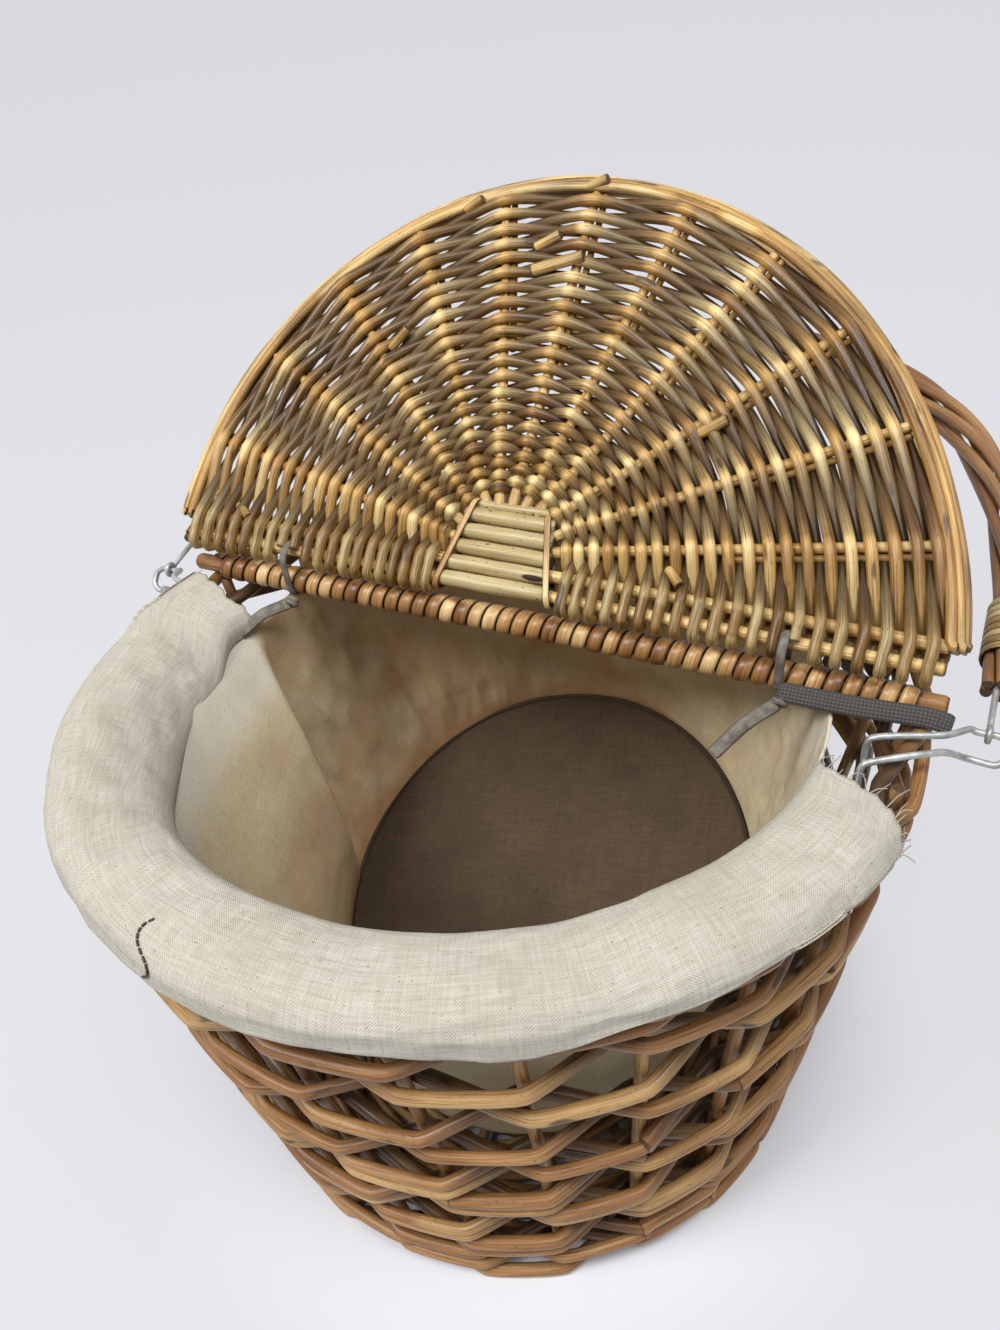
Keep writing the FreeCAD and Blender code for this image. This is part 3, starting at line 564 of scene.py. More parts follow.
# %% Rounds and stakes of the wall
PITCH = 7.3
RIM_Z = 251.1
TIGHT, LOOSE, EVEN, FLATTER = (0, 0.15), (11.0, 2.2), (11.0, 0.8), (5.0, 0.5)
BESIDE, OVER_FOOT = 6.6, 8.4
UPRIGHT_ENDS, UPRIGHT_R = (0.6, 248.9), (3.35, 2.8)
STEPS = 40
foot_levels = [ROUND_R + PITCH * i for i in range(3)]
rim_levels = [RIM_Z - ROUND_R - PITCH * i for i in range(3)]
open_shares = (0.08, 0.155, 0.235, 0.32, 0.405, 0.49, 0.575, 0.66, 0.745, 0.83, 0.915)
open_levels = [foot_levels[-1] + (rim_levels[-1] - foot_levels[-1]) * s for s in open_shares]
foot_rods = [r for n, z in enumerate(foot_levels) for r in wall_round(n, z, *TIGHT)]
open_rods = [r for n, z in enumerate(open_levels) for r in wall_round(n, z, *LOOSE)]
open_rods += [r for n in range(4) for r in wall_round(n, open_levels[n] + BESIDE, *EVEN)]
open_rods += [wall_round(n, open_levels[n] + BESIDE, *EVEN)[n % 2] for n in (4, 5, 8)]
rim_rods = [r for n, z in enumerate(rim_levels) for r in wall_round(n, z, *TIGHT)]
open_rods += wall_round(1, foot_levels[-1] + OVER_FOOT, *FLATTER)
weave_mesh("foot_round_rods", foot_rods, peeled, "basket", ["foot_wale"])
weave_mesh("wall_round_rods", open_rods, peeled, "basket", ["wall_weave"])
weave_mesh("rim_round_rods", rim_rods, peeled, "basket", ["rim_wale"])
uprights = []
for angle in stake_angle:
    path = wall_at(angle, np.linspace(*UPRIGHT_ENDS, STEPS))
    path = path + np.stack([wander(STEPS, 0.15), wander(STEPS, 0.15), np.zeros(STEPS)], -1)
    uprights.append(rod(path, np.linspace(*UPRIGHT_R, STEPS), deep=0.35))
weave_mesh("upright_stakes", uprights, peeled, "basket", ["wall_stakes"])

# %% [markdown]
# The base is hidden, but a basket is judged from below as well. Its spokes start where the
# crossed sticks end and stop short of the wall, and rods are woven round them, close enough
# that no floor shows through.

# %% Spokes and rounds of the base
SPOKES = 16
BASE_ROD_R, SPOKE_R = 2.3, 2.8
SPOKE_Z = 2 * BASE_ROD_R + SPOKE_R + 0.6
CROSS_LONG, CROSS_WIDE = 42, 34.5
CROSSING = 5.4
BASE_ROUNDS, BASE_PITCH = 16, 4.7
FLOOR_INSET = 10.6
SPOKE_STEPS = 14


def spoke_angle(i):
    return math.tau * (i + 0.5) / SPOKES - stake_angle[1] / 4


def plan_reach(angle):
    """How far the inside of the wall's foot is from the middle."""
    place = wall_at(angle, foot_levels[1], -FLOOR_INSET)
    return math.hypot(place[0], place[1])


spokes = []
for i in range(SPOKES):
    a = spoke_angle(i)
    c, s = abs(math.cos(a)), abs(math.sin(a))
    start = 2.4 + max(min(CROSS_LONG / c, CROSS_WIDE / s), min(CROSS_WIDE / c, CROSS_LONG / s))
    reach = np.linspace(start, plan_reach(a) - 0.6, SPOKE_STEPS)
    path = np.stack([reach * math.cos(a), reach * math.sin(a), SPOKE_Z + 0 * reach], -1)
    spokes.append(rod(path, SPOKE_R - 0.1, deep=0.3))
weave_mesh("base_spoke_rods", spokes, peeled, "basket", ["base_spokes"])
base_rounds = []
for n in range(BASE_ROUNDS):
    radius = plan_reach(math.pi / 2) - BASE_PITCH * (BASE_ROUNDS - 0.6 - n)
    span = 2 * radius * math.sin(math.pi / SPOKES)
    off = min(CROSSING / math.sqrt(1 - (2 * CROSSING / span) ** 2), SPOKE_Z - BASE_ROD_R)
    points = [(radius * math.cos(spoke_angle(i)), radius * math.sin(spoke_angle(i)),
               SPOKE_Z + (off if (i + n) % 2 else -off)) for i in range(SPOKES)]
    base_rounds.append(rod(smooth(points, 7, True, 0.4), BASE_ROD_R - 0.1, closed=True))
weave_mesh("base_round_rods", base_rounds, peeled, "basket", ["base_weave"])

# %% [markdown]
# The crossed sticks in the middle of the base are split flat, and their plain solids already
# have that shape. They stay, and only get a finish. They keep no facts on their corners, so
# its streaks are laid out on the object's own coordinates.

# %% Split sticks of the base
def stick_finish(name, dark, light):
    """Split willow for the flat sticks, whose plain solids are already the real shape."""
    f = Finish(bpy.data.materials.new(name))
    place = f.node("ShaderNodeTexCoord", output=3)
    streak = f.noise(f.stretch(place, (40.0, 400.0, 400.0)), 1.0, 4.0, 0.6)
    relief = f.bump(0.3, 0.0004, streak)
    return f.finish(Base_Color=f.blend(streak.over(0.3, 0.7), dark, light), Roughness=0.5,
                    Normal=relief)


split = stick_finish("split_sticks", srgb(166, 132, 84), srgb(206, 176, 126))
for label in ("base_sticks_across", "base_sticks_along"):
    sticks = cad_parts[label]
    sticks.data.materials.clear()
    sticks.data.materials.append(split)
    print("new finish on", label)

# %% [markdown]
# The bar rests on the rim. A skein of split willow is wound round it turn by turn, and each
# turn is a little barrel of its own colour. One unbroken flat strip on a fine screw line
# makes that, and its lightness changes from turn to turn as the real one does. The stick
# gets painted shade where the winding hides it, so that no bright line shows between two turns.

# %% Bar and its winding
BAR_ENDS, WOUND_ENDS = (-184.0, 190.0), (-171, 177)
BAR_R = 4.35
BAR_STEPS, TURN_STEPS = 60, 18
along = np.linspace(*BAR_ENDS, BAR_STEPS)
path = np.stack([along, HINGE_Y + 0 * along, BAR_Z + 0 * along], -1)
# Painted shade on the stick where the winding covers it.
shade_under_winding = np.abs(np.linspace(-1, 1, BAR_STEPS)) < 0.92
bar = rod(path, BAR_R + wander(BAR_STEPS, 0.04), 0.2, sides=18, deep=0.8 * shade_under_winding)
weave_mesh("bar_stick", [bar], peeled, "basket", ["cross_bar"])


def wound(start, end, turns, radius, thick, wide, place):
    """A flat strip wound round a stick; place turns (along, angle, radius) into a point."""
    steps = turns * TURN_STEPS
    t = np.linspace(0, 1, steps + 1)
    angle = math.tau * turns * t
    path = place(start + (end - start) * t, angle, radius)
    outward = unit(place(start + (end - start) * t, angle, radius + 1) - path)
    own = [1.1 * chance.random() - 0.2 for _ in range(turns + 1)]
    tone = [own[i // TURN_STEPS] for i in range(steps + 1)]
    return rod(path, wide / 2, tone, flat=thick / wide, up=outward)


def round_bar(along, angle, radius):
    return np.stack([along, HINGE_Y + radius * np.sin(angle), BAR_Z + radius * np.cos(angle)], -1)


bar_wind = wound(*WOUND_ENDS, turns=46, radius=5.8, thick=2.0, wide=6.9, place=round_bar)
weave_mesh("bar_winding", [bar_wind], skein, "basket", ["bar_skein"])

# %% [markdown]
# The lid starts from a few short sticks at the middle of its straight edge, tied in a
# bundle. Two long sticks run out from them to each side and make the edge itself. All are
# set out on the lid's own plane, so the lid could be laid at any angle from here.

# %% Edge sticks and the short sticks
EDGE_UP, SECOND_UP = 3.5, 13.5
EDGE_END, EDGE_STICK_R = 186.4, 2.95
SHORT_ENDS, SHORT_CUTS = (-42.0, 12.5), (1.4, 1.0)
SHORT_STEPS = 24
SHORT_STICKS = ((3.9, 4.1), (12.3, 4.1), (20.6, 4.0), (28.9, 4.0), (37.2, 3.9), (43.0, 2.2))
edge_sticks = []
for up in (EDGE_UP, SECOND_UP):
    for first, last in ((-EDGE_END, SHORT_ENDS[0] + 3), (SHORT_ENDS[1] - 3, EDGE_END)):
        path = lid_at(np.linspace(first, last, STEPS), up + wander(STEPS, 0.1))
        edge_sticks.append(rod(path, EDGE_STICK_R + wander(STEPS, 0.05), 0.7, deep=0.2))
weave_mesh("edge_sticks", edge_sticks, lid_rods, "lid", ["lid_edge_sticks"])
short_sticks = []
for number, (up, radius) in enumerate(SHORT_STICKS):
    along = np.linspace(SHORT_ENDS[0] + SHORT_CUTS[0] * number,
                        SHORT_ENDS[1] - SHORT_CUTS[1] * number, SHORT_STEPS)
    path = lid_at(along, up + wander(SHORT_STEPS, 0.1), 0.7)
    swell = radius * (1 - 0.1 * np.abs(np.linspace(-1, 1, SHORT_STEPS)) ** 3)
    short_sticks.append(rod(path, swell + wander(SHORT_STEPS, 0.08),
                            0.45 + 0.5 * chance.random(), sides=14))
weave_mesh("slath_short_sticks", short_sticks, pale, "lid", ["slath_sticks"])

# %% [markdown]
# Long stakes leave the short sticks like the ribs of a fan. Halfway out the gaps between
# them have grown too wide to weave, so a thinner stake is pushed in beside each one.

# %% Fan of the lid
def fan_at(step, share):
    """A place on one rib of the fan: share 0 at the short sticks, 1 at the round edge."""
    turn = math.pi * step / FAN
    along = LID["wide"] * math.cos(turn) + LID["lean"] * math.sin(turn)
    up = LID["deep"] * math.sin(turn)
    if step in (0, FAN):
        return LID["fan_x"] + (along - LID["fan_x"]) * share, SECOND_UP
    return (LID["fan_x"] + (along - LID["fan_x"]) * share,
            LID["fan_up"] + (up - LID["fan_up"]) * share)


RIB_STARTS = (0.135, 0.135, 0.14, 0.13, 0.12, 0.115, 0.12, 0.13, 0.14, 0.135, 0.135)
RIB_END, HALFWAY = 0.985, 0.5
RIB_R, THIN_RIB_R, BESIDE_RIB = 2.75, 1.9, 4.4
fan_stakes = []
for step, rib_start in enumerate(RIB_STARTS, 1):
    thin_start = HALFWAY + 0.05 * (step % 3)
    for aside, start, thick, tone in ((0.0, rib_start, RIB_R, 0.65),
                                      (BESIDE_RIB, thin_start, THIN_RIB_R, 0.1)):
        along, up = np.array([fan_at(step, s) for s in np.linspace(start, RIB_END, STEPS)]).T
        run = unit(np.array([along[-1] - along[0], up[-1] - up[0]]))
        along, up = along + run[1] * aside + wander(STEPS, 0.2), up - run[0] * aside
        fan_stakes.append(rod(lid_at(along, up, -0.3 * aside + wander(STEPS, 0.1)),
                              np.linspace(thick, thick * 0.88, STEPS), tone, deep=0.25))
weave_mesh("fan_stakes", fan_stakes, lid_rods, "lid", ["lid_stakes"])

# %% [markdown]
# Each half round passes over one stake and under the next, and its neighbour does the
# opposite, so the rods that show on one stake are every second row. They lie almost rod to
# rod, and forty-one fill the room between the short sticks and the border. An end that comes
# over the fan's last rib turns down round the edge sticks, which makes the row of small
# lumps there. One that comes under it, or comes next to a thong, ends flat on them.

# %% Woven half rounds of the lid
ROWS = 41
FIRST_ROW, ROWS_ROOM, ROWS_OPENING = 0.168, 0.81, 1.1
ROW_R, ROW_THIN_ENDS, ROW_THIN_UNDER = 2.8, 0.3, 0.4
ROW_FINE = 7
OVER_STAKE, OVER_SECOND, OVER_EDGE = 4.3, 5.4, 5.0
THONGS_AT = (-124.4, 123.4)
THONG_ROOM = 4.8
ROUND_THE_EDGE = ((EDGE_UP, 4.5), (-1.3, 3.5), (-2.8, 0.0), (-1.0, -3.6))


def turned_end(along, side):
    """The last few places of a half round, from the fan's first rib to the straight edge."""
    places = [(SECOND_UP, side * OVER_SECOND)]
    if side < 0 or min(abs(along - t) for t in THONGS_AT) < THONG_ROOM:
        places += [(EDGE_UP + 5, side * OVER_SECOND), (EDGE_UP, side * OVER_EDGE)]
    else:
        places += ROUND_THE_EDGE
    return [lid_at(along, up, out) for up, out in places]


def half_round(n):
    """One woven rod, with painted shade on the lid's inner side where it passes under a stake."""
    share = FIRST_ROW + ROWS_ROOM * (n / (ROWS - 1)) ** ROWS_OPENING
    ribs = [fan_at(step, share) for step in range(FAN + 1)]
    sides = [1 if (step + n) % 2 else -1 for step in range(FAN + 1)]
    points = [lid_at(a + chance.uniform(-0.8, 0.8), u + chance.uniform(-0.9, 0.9), s * OVER_STAKE)
              for (a, u), s in zip(ribs, sides)]
    right, left = (turned_end(ribs[k][0], sides[k]) for k in (0, -1))
    # Where the rod passes under a stake it gets painted shade, and its turned ends a little grime.
    deep = [0.0 if s > 0 else 1.0 for s in sides[1:-1]]
    deep = [0.2] * len(right) + deep + [0.2] * len(left)
    path = smooth(right[::-1] + points[1:-1] + left, ROW_FINE, pull=0.27)
    count = len(path)
    depth = between(deep, ROW_FINE, count)
    outer_part = np.clip(np.abs(np.linspace(-1, 1, count)) - 0.3, 0, 1)
    radius = ROW_R - ROW_THIN_ENDS * outer_part - ROW_THIN_UNDER * depth + wander(count, 0.07)
    return rod(path, radius + chance.uniform(-0.15, 0.15), patched(count, 5),
               deep=depth ** 0.4, face=LID_FACE)


rows = [half_round(n) for n in range(ROWS)]
print("half rounds:", len(rows))

# %% [markdown]
# A rod that ends is left with its cut butt standing a little off the weave. A few of these
# show on the real lid, and they are what tells a woven lid from a printed one.

# %% Butts that stand off the lid
BUTTS = (((-39, 168), (-14, 175), 3.0), ((-41, 181), (-29, 186), 2.5),
         ((64, 91), (76, 98), 2.6), ((67, 25), (74, 18), 2.4),
         ((-22, 217), (-13, 219), 2.3), ((-86, 200), (-77, 204), 2.3),
         ((-162, 21), (-152, 15), 2.3), ((-104, 118), (-96, 127), 2.4))
for (a0, u0), (a1, u1), thick in BUTTS:
    t = np.linspace(0, 1, 8)
    path = lid_at(a0 + (a1 - a0) * t, u0 + (u1 - u0) * t, 2.6 + 4.0 * t)
    rows.append(rod(path, thick, 0.5, deep=0.15 + 0.3 * t))
weave_mesh("lid_half_rounds", rows, lid_rods, "lid", ["lid_weave", "lid_edge_bindings"])

# %% [markdown]
# Five thin rods laid along the curved edge close the lid off, and two skeins tie the short
# sticks together. The rods are listed by how far out, how high and how thick they lie.

# %% Border and ties of the lid
BORDER_LAY = ((0, 0.45, 2.5), (0, -0.5, 2.5), (0.5, 0.5, 1.8), (0.95, 0.1, 2.0), (0.6, -0.45, 2.0))
BORDER_WIDE = 5.7
BORDER_STEPS = 90
TIE_HIGH = 37.2
border = []
for push, out, thick in BORDER_LAY:
    turn = np.linspace(0, math.pi, BORDER_STEPS)
    grow = push * BORDER_WIDE
    along = LID["wide"] * np.cos(turn) + LID["lean"] * np.sin(turn) + np.cos(turn) * grow
    up = np.maximum(LID["deep"] * np.sin(turn) + np.sin(turn) * grow, SECOND_UP)
    path = lid_at(along + wander(BORDER_STEPS, 0.5, 9), up + wander(BORDER_STEPS, 0.5, 9),
                  out * BORDER_WIDE + wander(BORDER_STEPS, 0.3, 9))
    tone = patched(BORDER_STEPS, 6)
    deep = np.clip(0.25 + wander(BORDER_STEPS, 0.15, 4), 0, 1)
    border.append(rod(path, np.linspace(thick, 0.85 * thick, BORDER_STEPS), tone, deep=deep))
weave_mesh("lid_border_rods", border, lid_rods, "lid", ["lid_border"])


def tie(along, high, lean, tone, low=EDGE_UP, radius=4.6, thick=0.9, wide=3.2):
    """A flat strip bound once round sticks from low to high on the lid."""
    turn = np.linspace(0, math.tau, 32, endpoint=False)
    reach = radius + thick / 2
    up = np.where(np.cos(turn) > 0, high, low) + reach * np.cos(turn)
    out = reach * np.sin(turn)
    path = lid_at(along + lean * (up - high), up, out)
    middle = lid_at(along + lean * (up - high), np.clip(up, low, high), 0.0)
    return rod(path, wide / 2, tone, closed=True, flat=thick / wide, sides=8,
               up=unit(path - middle))


ties = [tie(-33.5, TIE_HIGH + 3, 0.2, 0.6), tie(6.0, TIE_HIGH, -0.25, 0.9)]
weave_mesh("slath_ties", ties, skein, "lid", ["slath_bindings"])

# %% [markdown]
# The handle is a bundle of five rods laid together with a slow twist into a square-shouldered
# arch. The arch is a superellipse, as in the plain solid, read off at even steps and eased
# at its corners. Each rod keeps its own angle round that line, which turns three times.

# %% Rods of the handle
PIVOT = np.array([0.0, HINGE_Y, 245.0])
REST = math.radians(8.0)
H_WIDE = np.array([1.0, 0.0, 0.0])
H_UP = np.array([0.0, math.cos(REST), math.sin(REST)])
H_FACE = np.array([0.0, -math.sin(REST), math.cos(REST)])
HALF_SPAN, ARCH_FOOT, ARCH_RISE, SQUARE = 209.0, 25, 243, 2 / 2.7
HANDLE_RODS, TWISTS, HANDLE_STEPS = 5, 3, 151
BUNDLE_R, BUNDLE_SWELL = 4.8, 3.0
HANDLE_ROD_R, HANDLE_ROD_SWELL = 2.6, 0.85
turn = np.linspace(0, math.pi, 1441)
wide = HALF_SPAN * np.sign(np.cos(turn)) * np.abs(np.cos(turn)) ** SQUARE
fine = (PIVOT + np.outer(wide, H_WIDE)
        + np.outer(ARCH_FOOT + ARCH_RISE * np.sin(turn) ** SQUARE, H_UP))
travel = np.concatenate([[0], np.cumsum(np.linalg.norm(np.diff(fine, axis=0), axis=1))])
share = np.linspace(0, 1, HANDLE_STEPS)
arch = np.stack([np.interp(share * travel[-1], travel, fine[:, k]) for k in range(3)], -1)
kernel = np.ones(5) / 5
arch[2:-2] = np.stack([np.convolve(arch[:, k], kernel, "valid") for k in range(3)], -1)
outward = unit(np.cross(unit(np.gradient(arch, axis=0)), H_FACE))
swell = np.minimum(np.sin(math.pi * share) * 1.6, 1)
swell = np.maximum(swell - math.sin(math.pi / 30) * 4, 0)
handle = []
for number in range(HANDLE_RODS):
    lay = math.tau * (number / HANDLE_RODS + TWISTS * share)
    ray = outward * np.cos(lay)[:, None] + H_FACE * np.sin(lay)[:, None]
    path = arch + ray * (BUNDLE_R + BUNDLE_SWELL * swell)[:, None]
    handle.append(rod(path, HANDLE_ROD_R + HANDLE_ROD_SWELL * swell, sides=12, deep=0.15))
weave_mesh("handle_bundle", handle, brown, "handle", ["handle_rods"])

# %% [markdown]
# Each end of the handle is bound with pale skein, which holds the five rods together. It is
# the same winding as on the bar, only round another line.

# %% Bands of the handle
BAND_ENDS = (40, 72)


def handle_foot(side):
    """The pivot at one end of the handle."""
    return PIVOT + side * HALF_SPAN * H_WIDE


def band(side):
    """The skein wound round one end of the handle."""
    foot = handle_foot(side)

    def round_end(along, angle, radius):
        return (foot + np.outer(along, H_UP) + np.outer(radius * np.sin(angle), H_WIDE)
                + np.outer(radius * np.cos(angle), H_FACE))

    return wound(*BAND_ENDS, turns=8, radius=8.6, thick=1.5, wide=3.95, place=round_end)


bands = [band(side) for side in (-1, 1)]
weave_mesh("handle_bands", bands, pale_skein, "handle", ["handle_wraps"])

# %% [markdown]
# Galvanised wire holds the handle: an eye in each of its ends hangs in the bend of a
# hairpin that reaches over the rim. Wire bends in even curves, so both are round sweeps. The
# hairpin's places are listed for the right end, and turned over for the left.

# %% Wire eyes and hairpins
EYE_WIRE_R, PIN_WIRE_R = 1.38, 1.48
SOLID_EYE_WIRE_R, SOLID_PIN_WIRE_R, EYE_GAP = 1.4, 1.5, 0.05
EYE_R = ((SOLID_PIN_WIRE_R + EYE_GAP) / math.cos(math.pi / 16)
         + SOLID_EYE_WIRE_R * math.cos(math.pi / 8))
SHANK_END = 33
SPREAD = 12.0 / math.sqrt(2)
OVER, INSIDE, LEVEL = 253.8, 164.0, PIVOT[2]
HAIRPIN = ((INSIDE, HINGE_Y - SPREAD * 3.0, OVER - SPREAD * 1.8),
           (INSIDE + 1.5, HINGE_Y - SPREAD * 3.0, OVER),
           (HALF_SPAN - SPREAD * 2, HINGE_Y - SPREAD * 1.8, OVER),
           (HALF_SPAN - SPREAD * 0.9, HINGE_Y - 0.75, LEVEL + 1.5),
           (HALF_SPAN - SPREAD * 0.5, HINGE_Y, LEVEL),
           (HALF_SPAN + SPREAD * 0.5, HINGE_Y, LEVEL),
           (HALF_SPAN + SPREAD * 0.95, HINGE_Y - SPREAD * 0.25, LEVEL - SPREAD * 0.25),
           (HALF_SPAN + SPREAD * 0.95, HINGE_Y - SPREAD * 0.75, LEVEL - SPREAD * 0.75),
           (HALF_SPAN + SPREAD * 0.5, HINGE_Y - SPREAD, LEVEL - SPREAD),
           (HALF_SPAN - SPREAD * 0.9, HINGE_Y - SPREAD, LEVEL - SPREAD * 0.9),
           (HALF_SPAN - SPREAD * 2, HINGE_Y - SPREAD * 3.0, OVER),
           (INSIDE + 1.5, HINGE_Y - SPREAD * 4.8, OVER),
           (INSIDE, HINGE_Y - SPREAD * 4.8, OVER - SPREAD * 1.8))
eyes, hairpins = [], []
for side in (-1, 1):
    foot = handle_foot(side)
    turn = np.linspace(0, math.tau, STEPS, endpoint=False)
    loop = foot + np.outer(np.cos(turn) * EYE_R, H_UP) + np.outer(np.sin(turn) * EYE_R, H_FACE)
    shank = foot + np.outer(np.linspace(EYE_R, SHANK_END, 12), H_UP)
    eyes.append(rod(loop, EYE_WIRE_R, 0.6, closed=True, sides=12))
    eyes.append(rod(shank, EYE_WIRE_R, 0.6, sides=12))
    path = smooth([(side * x, y, z) for x, y, z in HAIRPIN], 8, pull=0.3)
    hairpins.append(rod(path, PIN_WIRE_R, 0.6, sides=12))
weave_mesh("handle_wire_eyes", eyes, wire, "handle", ["handle_eyes"])
weave_mesh("rim_hairpins", hairpins, wire, "basket", ["wall_staples"])

# %% [markdown]
# Two leather thongs are the lid's hinges. Each loops round the bar and the lid's edge and
# is knotted in front, and its cut tail sticks out. The loop is a belt round two circles of
# unlike size, the knot a short coil, and the tail a flat strip with a slight sag.

# %% Leather thongs
THONG_WIDE, THONG_THICK = 4.2, 1.5
EDGE_REACH, WOUND_BAR_REACH = 6.8, 4.55 + 1.2 + 0.9
TOP_R, LOW_R = EDGE_REACH + THONG_THICK / 2, WOUND_BAR_REACH + THONG_THICK / 2
KNOT_R, KNOT_CORD_R, KNOT_TURNS = 4.0, 1.5, 1.6
TAIL_HALF, TAIL_FLAT = 3.1, 0.26
KNOT_OUT = LOW_R + THONG_THICK / 2 + KNOT_R + 0.3
ARC_STEPS = 20
FALL = unit(np.array([-0.1, -0.75, -0.65]))
ACROSS_FALL = unit(np.cross(FALL, (1, 0, 0)))
TAILS = (((-0.68, -0.68, -0.26), 27), ((-0.6, -0.73, -0.32), 33))


def thong(along, tail_way, tail_long):
    """The loop, knot and tail of one thong, by its place along the bar."""
    slope = math.asin((TOP_R - LOW_R) / (HINGE_Z - BAR_Z))
    turns = np.concatenate([np.linspace(-slope, math.pi + slope, ARC_STEPS),
                            np.linspace(math.pi + slope, math.tau - slope, ARC_STEPS)])
    level = np.repeat([HINGE_Z, BAR_Z], ARC_STEPS)
    reach = np.repeat([TOP_R, LOW_R], ARC_STEPS)
    up = np.stack([0 * turns, np.cos(turns), np.sin(turns)], -1)
    path = np.stack([along + 0 * turns, HINGE_Y + reach * np.cos(turns),
                     level + reach * np.sin(turns)], -1)
    loop = rod(path, THONG_WIDE / 2, 0.5, closed=True, flat=0.36, sides=8, up=up)
    middle = np.array([along + 2.0, HINGE_Y - KNOT_OUT * 0.88, BAR_Z - KNOT_OUT * 0.47])
    t = np.linspace(0, math.tau * KNOT_TURNS, STEPS)
    coil = (middle + np.outer(np.sin(t) * 2.4, H_WIDE) + np.outer(np.cos(t) * 1.7, ACROSS_FALL)
            + np.outer(np.linspace(-1.6, 1.6, STEPS), FALL))
    knot = rod(coil, KNOT_CORD_R, 0.5, sides=8)
    aim = unit(np.array(tail_way))
    start = middle + aim * 2.6
    path = smooth([start, start + aim * tail_long * 0.5 + (0, 0, 2.0),
                   start + aim * tail_long - (0, 0, 1.5)], 10)
    face = np.cross(aim, unit(np.cross((0.2, -0.6, 0.75), aim)))
    tail = rod(path, TAIL_HALF, 0.5, flat=TAIL_FLAT, sides=8, up=np.tile(face, (len(path), 1)))
    return loop, knot, tail


loops, knots, tails = zip(*(thong(x, *tail) for x, tail in zip(THONGS_AT, TAILS)))
weave_mesh("hinge_thongs", loops, thong_leather, "basket", ["thong_loops"])
weave_mesh("thong_end_knots", knots, thong_leather, "basket", ["thong_knots"])
weave_mesh("thong_cut_tails", tails, thong_leather, "basket", ["thong_tails"])

# %% [markdown]
# A dark flat braid lies along the front of the bar's right end. It is one flat strip, since
# its plaits are too small for real strands and come from its finish.

# %% Braided strap
STRAP_Y = HINGE_Y - 9.6
STRAP_HALF, STRAP_FLAT = 4.4, 0.24
strap = smooth([(THONGS_AT[1] + 2.0, STRAP_Y, BAR_Z - 1.5), (155.0, STRAP_Y - 0.2, BAR_Z - 1.2),
                (183.0, STRAP_Y, BAR_Z + 0.4), (193.0, STRAP_Y, BAR_Z - 1.0)], 14)
strap_up = np.tile((0.0, -0.72, 0.69), (len(strap), 1))
strap = rod(strap, STRAP_HALF, 0.5, flat=STRAP_FLAT, sides=16, up=strap_up)
weave_mesh("braided_flat_strap", [strap], braid, "basket", ["braided_strap"])

# %% [markdown]
# The liner is sewn from linen. A sheet of cloth is laid out on a grid, so many steps across
# and so many up, once for each of its faces, and the two are sewn together at the edges. The
# size it was cut to is measured on the grid itself, along its longest row and column.

# %% Cloth on a grid
def cloth(name, outside, inside, finish, node, wrap, soil_and_painted_light, flat=None):
    """A sheet from the grids of its two faces, with the width, height and area it was cut to.

    Where wrap is set, it closes into a ring; flat is the place of each corner on the cut.
    """
    height, width = outside.shape[:2]
    total = height * width
    here = np.arange(total).reshape(height, width)
    left = here if wrap else here[:, :-1]
    right = np.roll(here, -1, 1)[:, :left.shape[1]]
    quads = np.stack([left[:-1], right[:-1], right[1:], left[1:]], -1)
    faces = np.stack([quads, quads[..., [0, 3, 2, 1]] + total], 2).reshape(-1, 4).tolist()
    edges = [(left[0], right[0]), (right[-1], left[-1])]
    if not wrap:
        edges += [(here[1:, 0], here[:-1, 0]), (here[:-1, -1], here[1:, -1])]
    for a, b in edges:
        faces += np.stack([b, a, a + total, b + total], -1).tolist()
    step_up = np.linalg.norm(np.diff(outside, axis=0), axis=-1)
    step_along = np.linalg.norm(np.diff(outside, axis=1), axis=-1)
    up = np.concatenate([np.zeros((1, width)), np.cumsum(step_up, 0)]) * MM
    along = np.concatenate([np.zeros(1), np.cumsum(step_along.max(0))]) * MM
    grain = np.stack([np.broadcast_to(along, here.shape), up, np.zeros(here.shape)], -1)
    if flat is not None:
        grain[..., :2] = flat[..., :2] * MM
    corners = np.concatenate([outside.reshape(-1, 3), inside.reshape(-1, 3)])
    facts = dict(grain=np.tile(grain.reshape(-1, 3), (2, 1)), deep=np.tile(soil_and_painted_light.ravel(), 2))
    piece = make_piece(name, corners, faces, facts, finish, "basket", [node])
    across = float(step_along.sum(1).max()) * MM
    high = float(step_up.sum(0).max()) * MM
    area = float(step_up.mean(1).sum() * step_along.sum(1).mean()) * MM * MM
    print(f"{name}: cloth {across:.3f} m by {high:.3f} m, {len(faces)} faces")
    return piece, across, high, area


def soft_step(values, low, high):
    """Nought below low, one above high, and smooth between."""
    t = np.clip((values - low) / (high - low), 0, 1)
    return t * t * (3 - 2 * t)


def crease(points, wave=0.035, size=1.1):
    """Soft creases, pushed along a fixed cloud of noise."""
    push = [noise.noise(Vector(p) * wave) * size + noise.noise(Vector(p) * 3 * wave) * 0.35 * size
            for p in points.reshape(-1, 3)]
    return np.array(push).reshape(points.shape[:-1])


# %% [markdown]
# The liner is a bag that hangs in the basket with its round bottom tilted. Its wall runs
# from the seam round that bottom up to the rim, and bulges inward in a few folds. The
# biggest fold, at the left, is a flap: gentle on its front side and steep toward the back.

